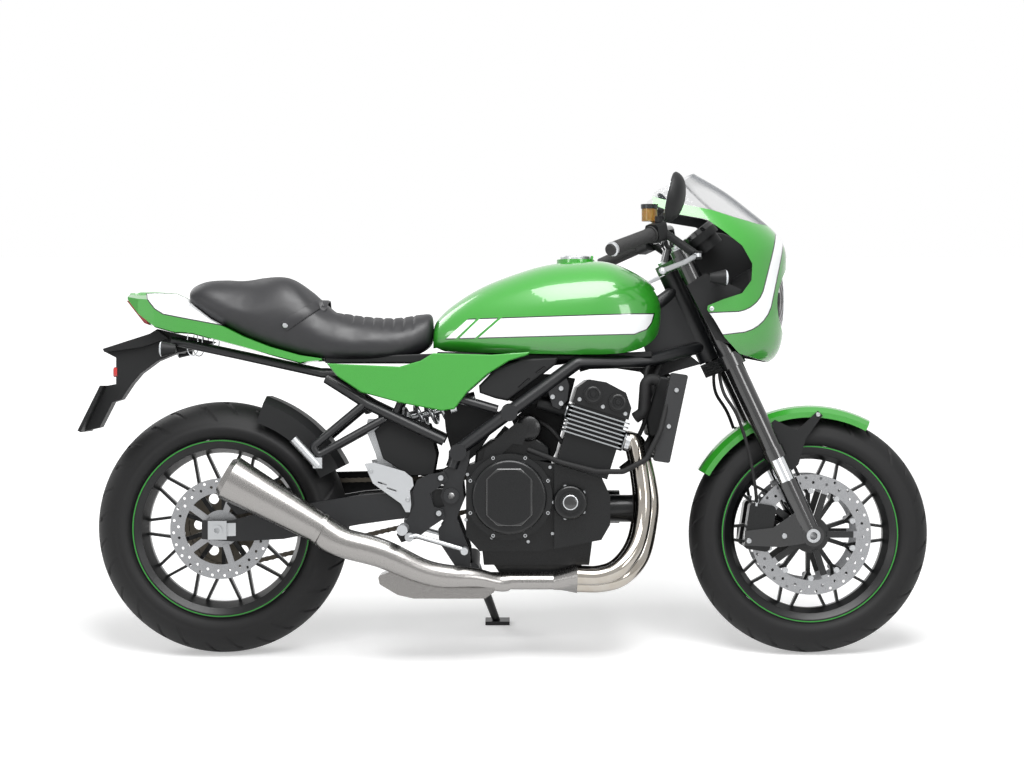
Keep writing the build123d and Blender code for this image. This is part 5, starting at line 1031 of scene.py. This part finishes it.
# %% Finishes for the solids
FINISHES = {
    frame_black: "frame rear_frame swingarm side_stand",
    wheel_black: "fork_outers fork_bottoms triple_clamps handlebar",
    front_rim_black: "front_rim",
    rear_rim_black: "rear_rim",
    fin_black: "cylinders",
    core_black: "radiator",
    engine_black: "head_cover crankcase sump right_covers left_covers front_calipers rear_caliper",
    moulded_black: "mirrors airbox plate_carrier rear_guards switches instruments front_stays "
                   "front_signals rear_signals",
    rubber_black: "hoses",
    grip_rubber: "grips",
    chrome: "fork_sliders",
    bright_steel: "front_axle shock",
    shaft_steel: "rear_axle",
    alloy: "footrests foot_levers fuel_cap levers",
    floating_disc: "front_discs",
    disc_steel: "rear_disc",
    chain_steel: "chain front_sprocket rear_sprocket",
    brushed: "collector muffler",
    green_paint: "side_covers front_fender",
    tank_paint: "fuel_tank",
    tail_paint: "tail_cowl",
    cowl_paint: "cowl",
    screen_clear: "windscreen",
    lamp_face: "headlight",
    red_lens: "tail_lamp",
    amber: "reservoir",
}
for material, names in FINISHES.items():
    for name in names.split():
        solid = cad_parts[name]
        solid.data.materials.clear()
        solid.data.materials.append(material)

# %% [markdown]
# The photograph is taken square to the bike's side from about six and a half metres, with the
# lens a little above the axles. The parked bike leans away from it, so here the camera rises by
# the same angle, and sees the bike as the photograph does.

# %% Camera, light and floor
camera = bpy.data.objects.new("camera", bpy.data.cameras.new("camera"))
bpy.context.scene.collection.objects.link(camera)
bpy.context.scene.camera = camera
EYE_DISTANCE, FRAME_WIDTH, SENSOR = 6500.0, 1024 * 2.52, 36
camera.location = park([-10.0, -EYE_DISTANCE, 676.0])
camera.rotation_euler = (np.pi / 2 - LEAN, 0, 0)
camera.data.sensor_width = SENSOR
camera.data.lens = SENSOR * EYE_DISTANCE / FRAME_WIDTH

sky = bpy.data.worlds.new("studio")
bpy.context.scene.world = sky
sky.use_nodes = True
sky.node_tree.nodes["Background"].inputs["Color"].default_value = (1, 1, 1, 1)


def in_sight(tree):
    """1 for rays that the eye follows, straight or by way of metal and glass; 0 for rays of light."""
    ray = node(tree, "LightPath")
    kinds = [ray.outputs[f"Is {kind} Ray"] for kind in ("Camera", "Glossy", "Transmission")]
    return fold(tree, "MAXIMUM", kinds)


tree = sky.node_tree
spread(tree, in_sight(tree), 0.2, 1.0, tree.nodes["Background"].inputs["Strength"], 0.0, 1.0)
bpy.context.scene.view_settings.view_transform = "Standard"


def soft_light(name, place, aim, size, power):
    """A square area light that looks from its place to its aim."""
    lamp = bpy.data.lights.new(name, "AREA")
    lamp.shape, lamp.size, lamp.energy = "SQUARE", size, power
    holder = bpy.data.objects.new(name, lamp)
    bpy.context.scene.collection.objects.link(holder)
    holder.location = place
    holder.visible_camera = False
    holder.rotation_euler = (Vector(aim) - Vector(place)).to_track_quat("-Z", "Y").to_euler()


soft_light("overhead", (0.2, -1.4, 3.2), (0, 0, 0.5), 2.4, 170)
soft_light("front_left", (3.0, -4.2, 2.2), (0, 0, 0.6), 1.4, 44)
soft_light("tail_side", (-3.4, -3.6, 1.6), (0, 0, 0.6), 1.0, 24)
soft_light("behind", (-2.6, 2.2, 2.4), (0, 0, 0.6), 2.0, 50)

# %% [markdown]
# The floor is white paper that catches the bike's shadow. Studio light falls off with distance, so
# the paper glows a little more the farther it lies from the bike, only for the eye and not as
# light, until it is as white as the air around it: from every side there is no line to be seen.

# %% Floor
FLOOR_HALF = 9.0
corners = [(x * FLOOR_HALF, y * FLOOR_HALF, 0.0) for x, y in ((-1, -1), (1, -1), (1, 1), (-1, 1))]
floor_mesh = bpy.data.meshes.new("floor")
floor_mesh.from_pydata(corners, [], [(0, 1, 2, 3)])
paper, tree, surface = finish("floor_paper", "E8E8E8", roughness=0.9, specular_ior_level=0.1)
surface.inputs["Emission Color"].default_value = (1, 1, 1, 1)
where = node(tree, "TexCoord")
away = node(tree, "VectorMath", {}, {0: where.outputs["Object"]}, operation="LENGTH")
fade = node(tree, "MapRange", {"From Min": 1.6, "From Max": 5.0, "To Min": 0.4, "To Max": 1.0},
            {"Value": away.outputs["Value"]})
glow = math(tree, "MULTIPLY", fade.outputs["Result"], in_sight(tree))
tree.links.new(glow, surface.inputs["Emission Strength"])
grain(tree, surface, 2.0, 0.05, 0.1)
floor_mesh.materials.append(paper)
floor = bpy.data.objects.new("floor", floor_mesh)
bpy.context.scene.collection.objects.link(floor)
floor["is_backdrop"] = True

boxes = {"cad": CAD_BOX, "visual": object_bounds()}
boxes = {name: [list(map(float, corner)) for corner in box] for name, box in boxes.items()}
print(boxes)
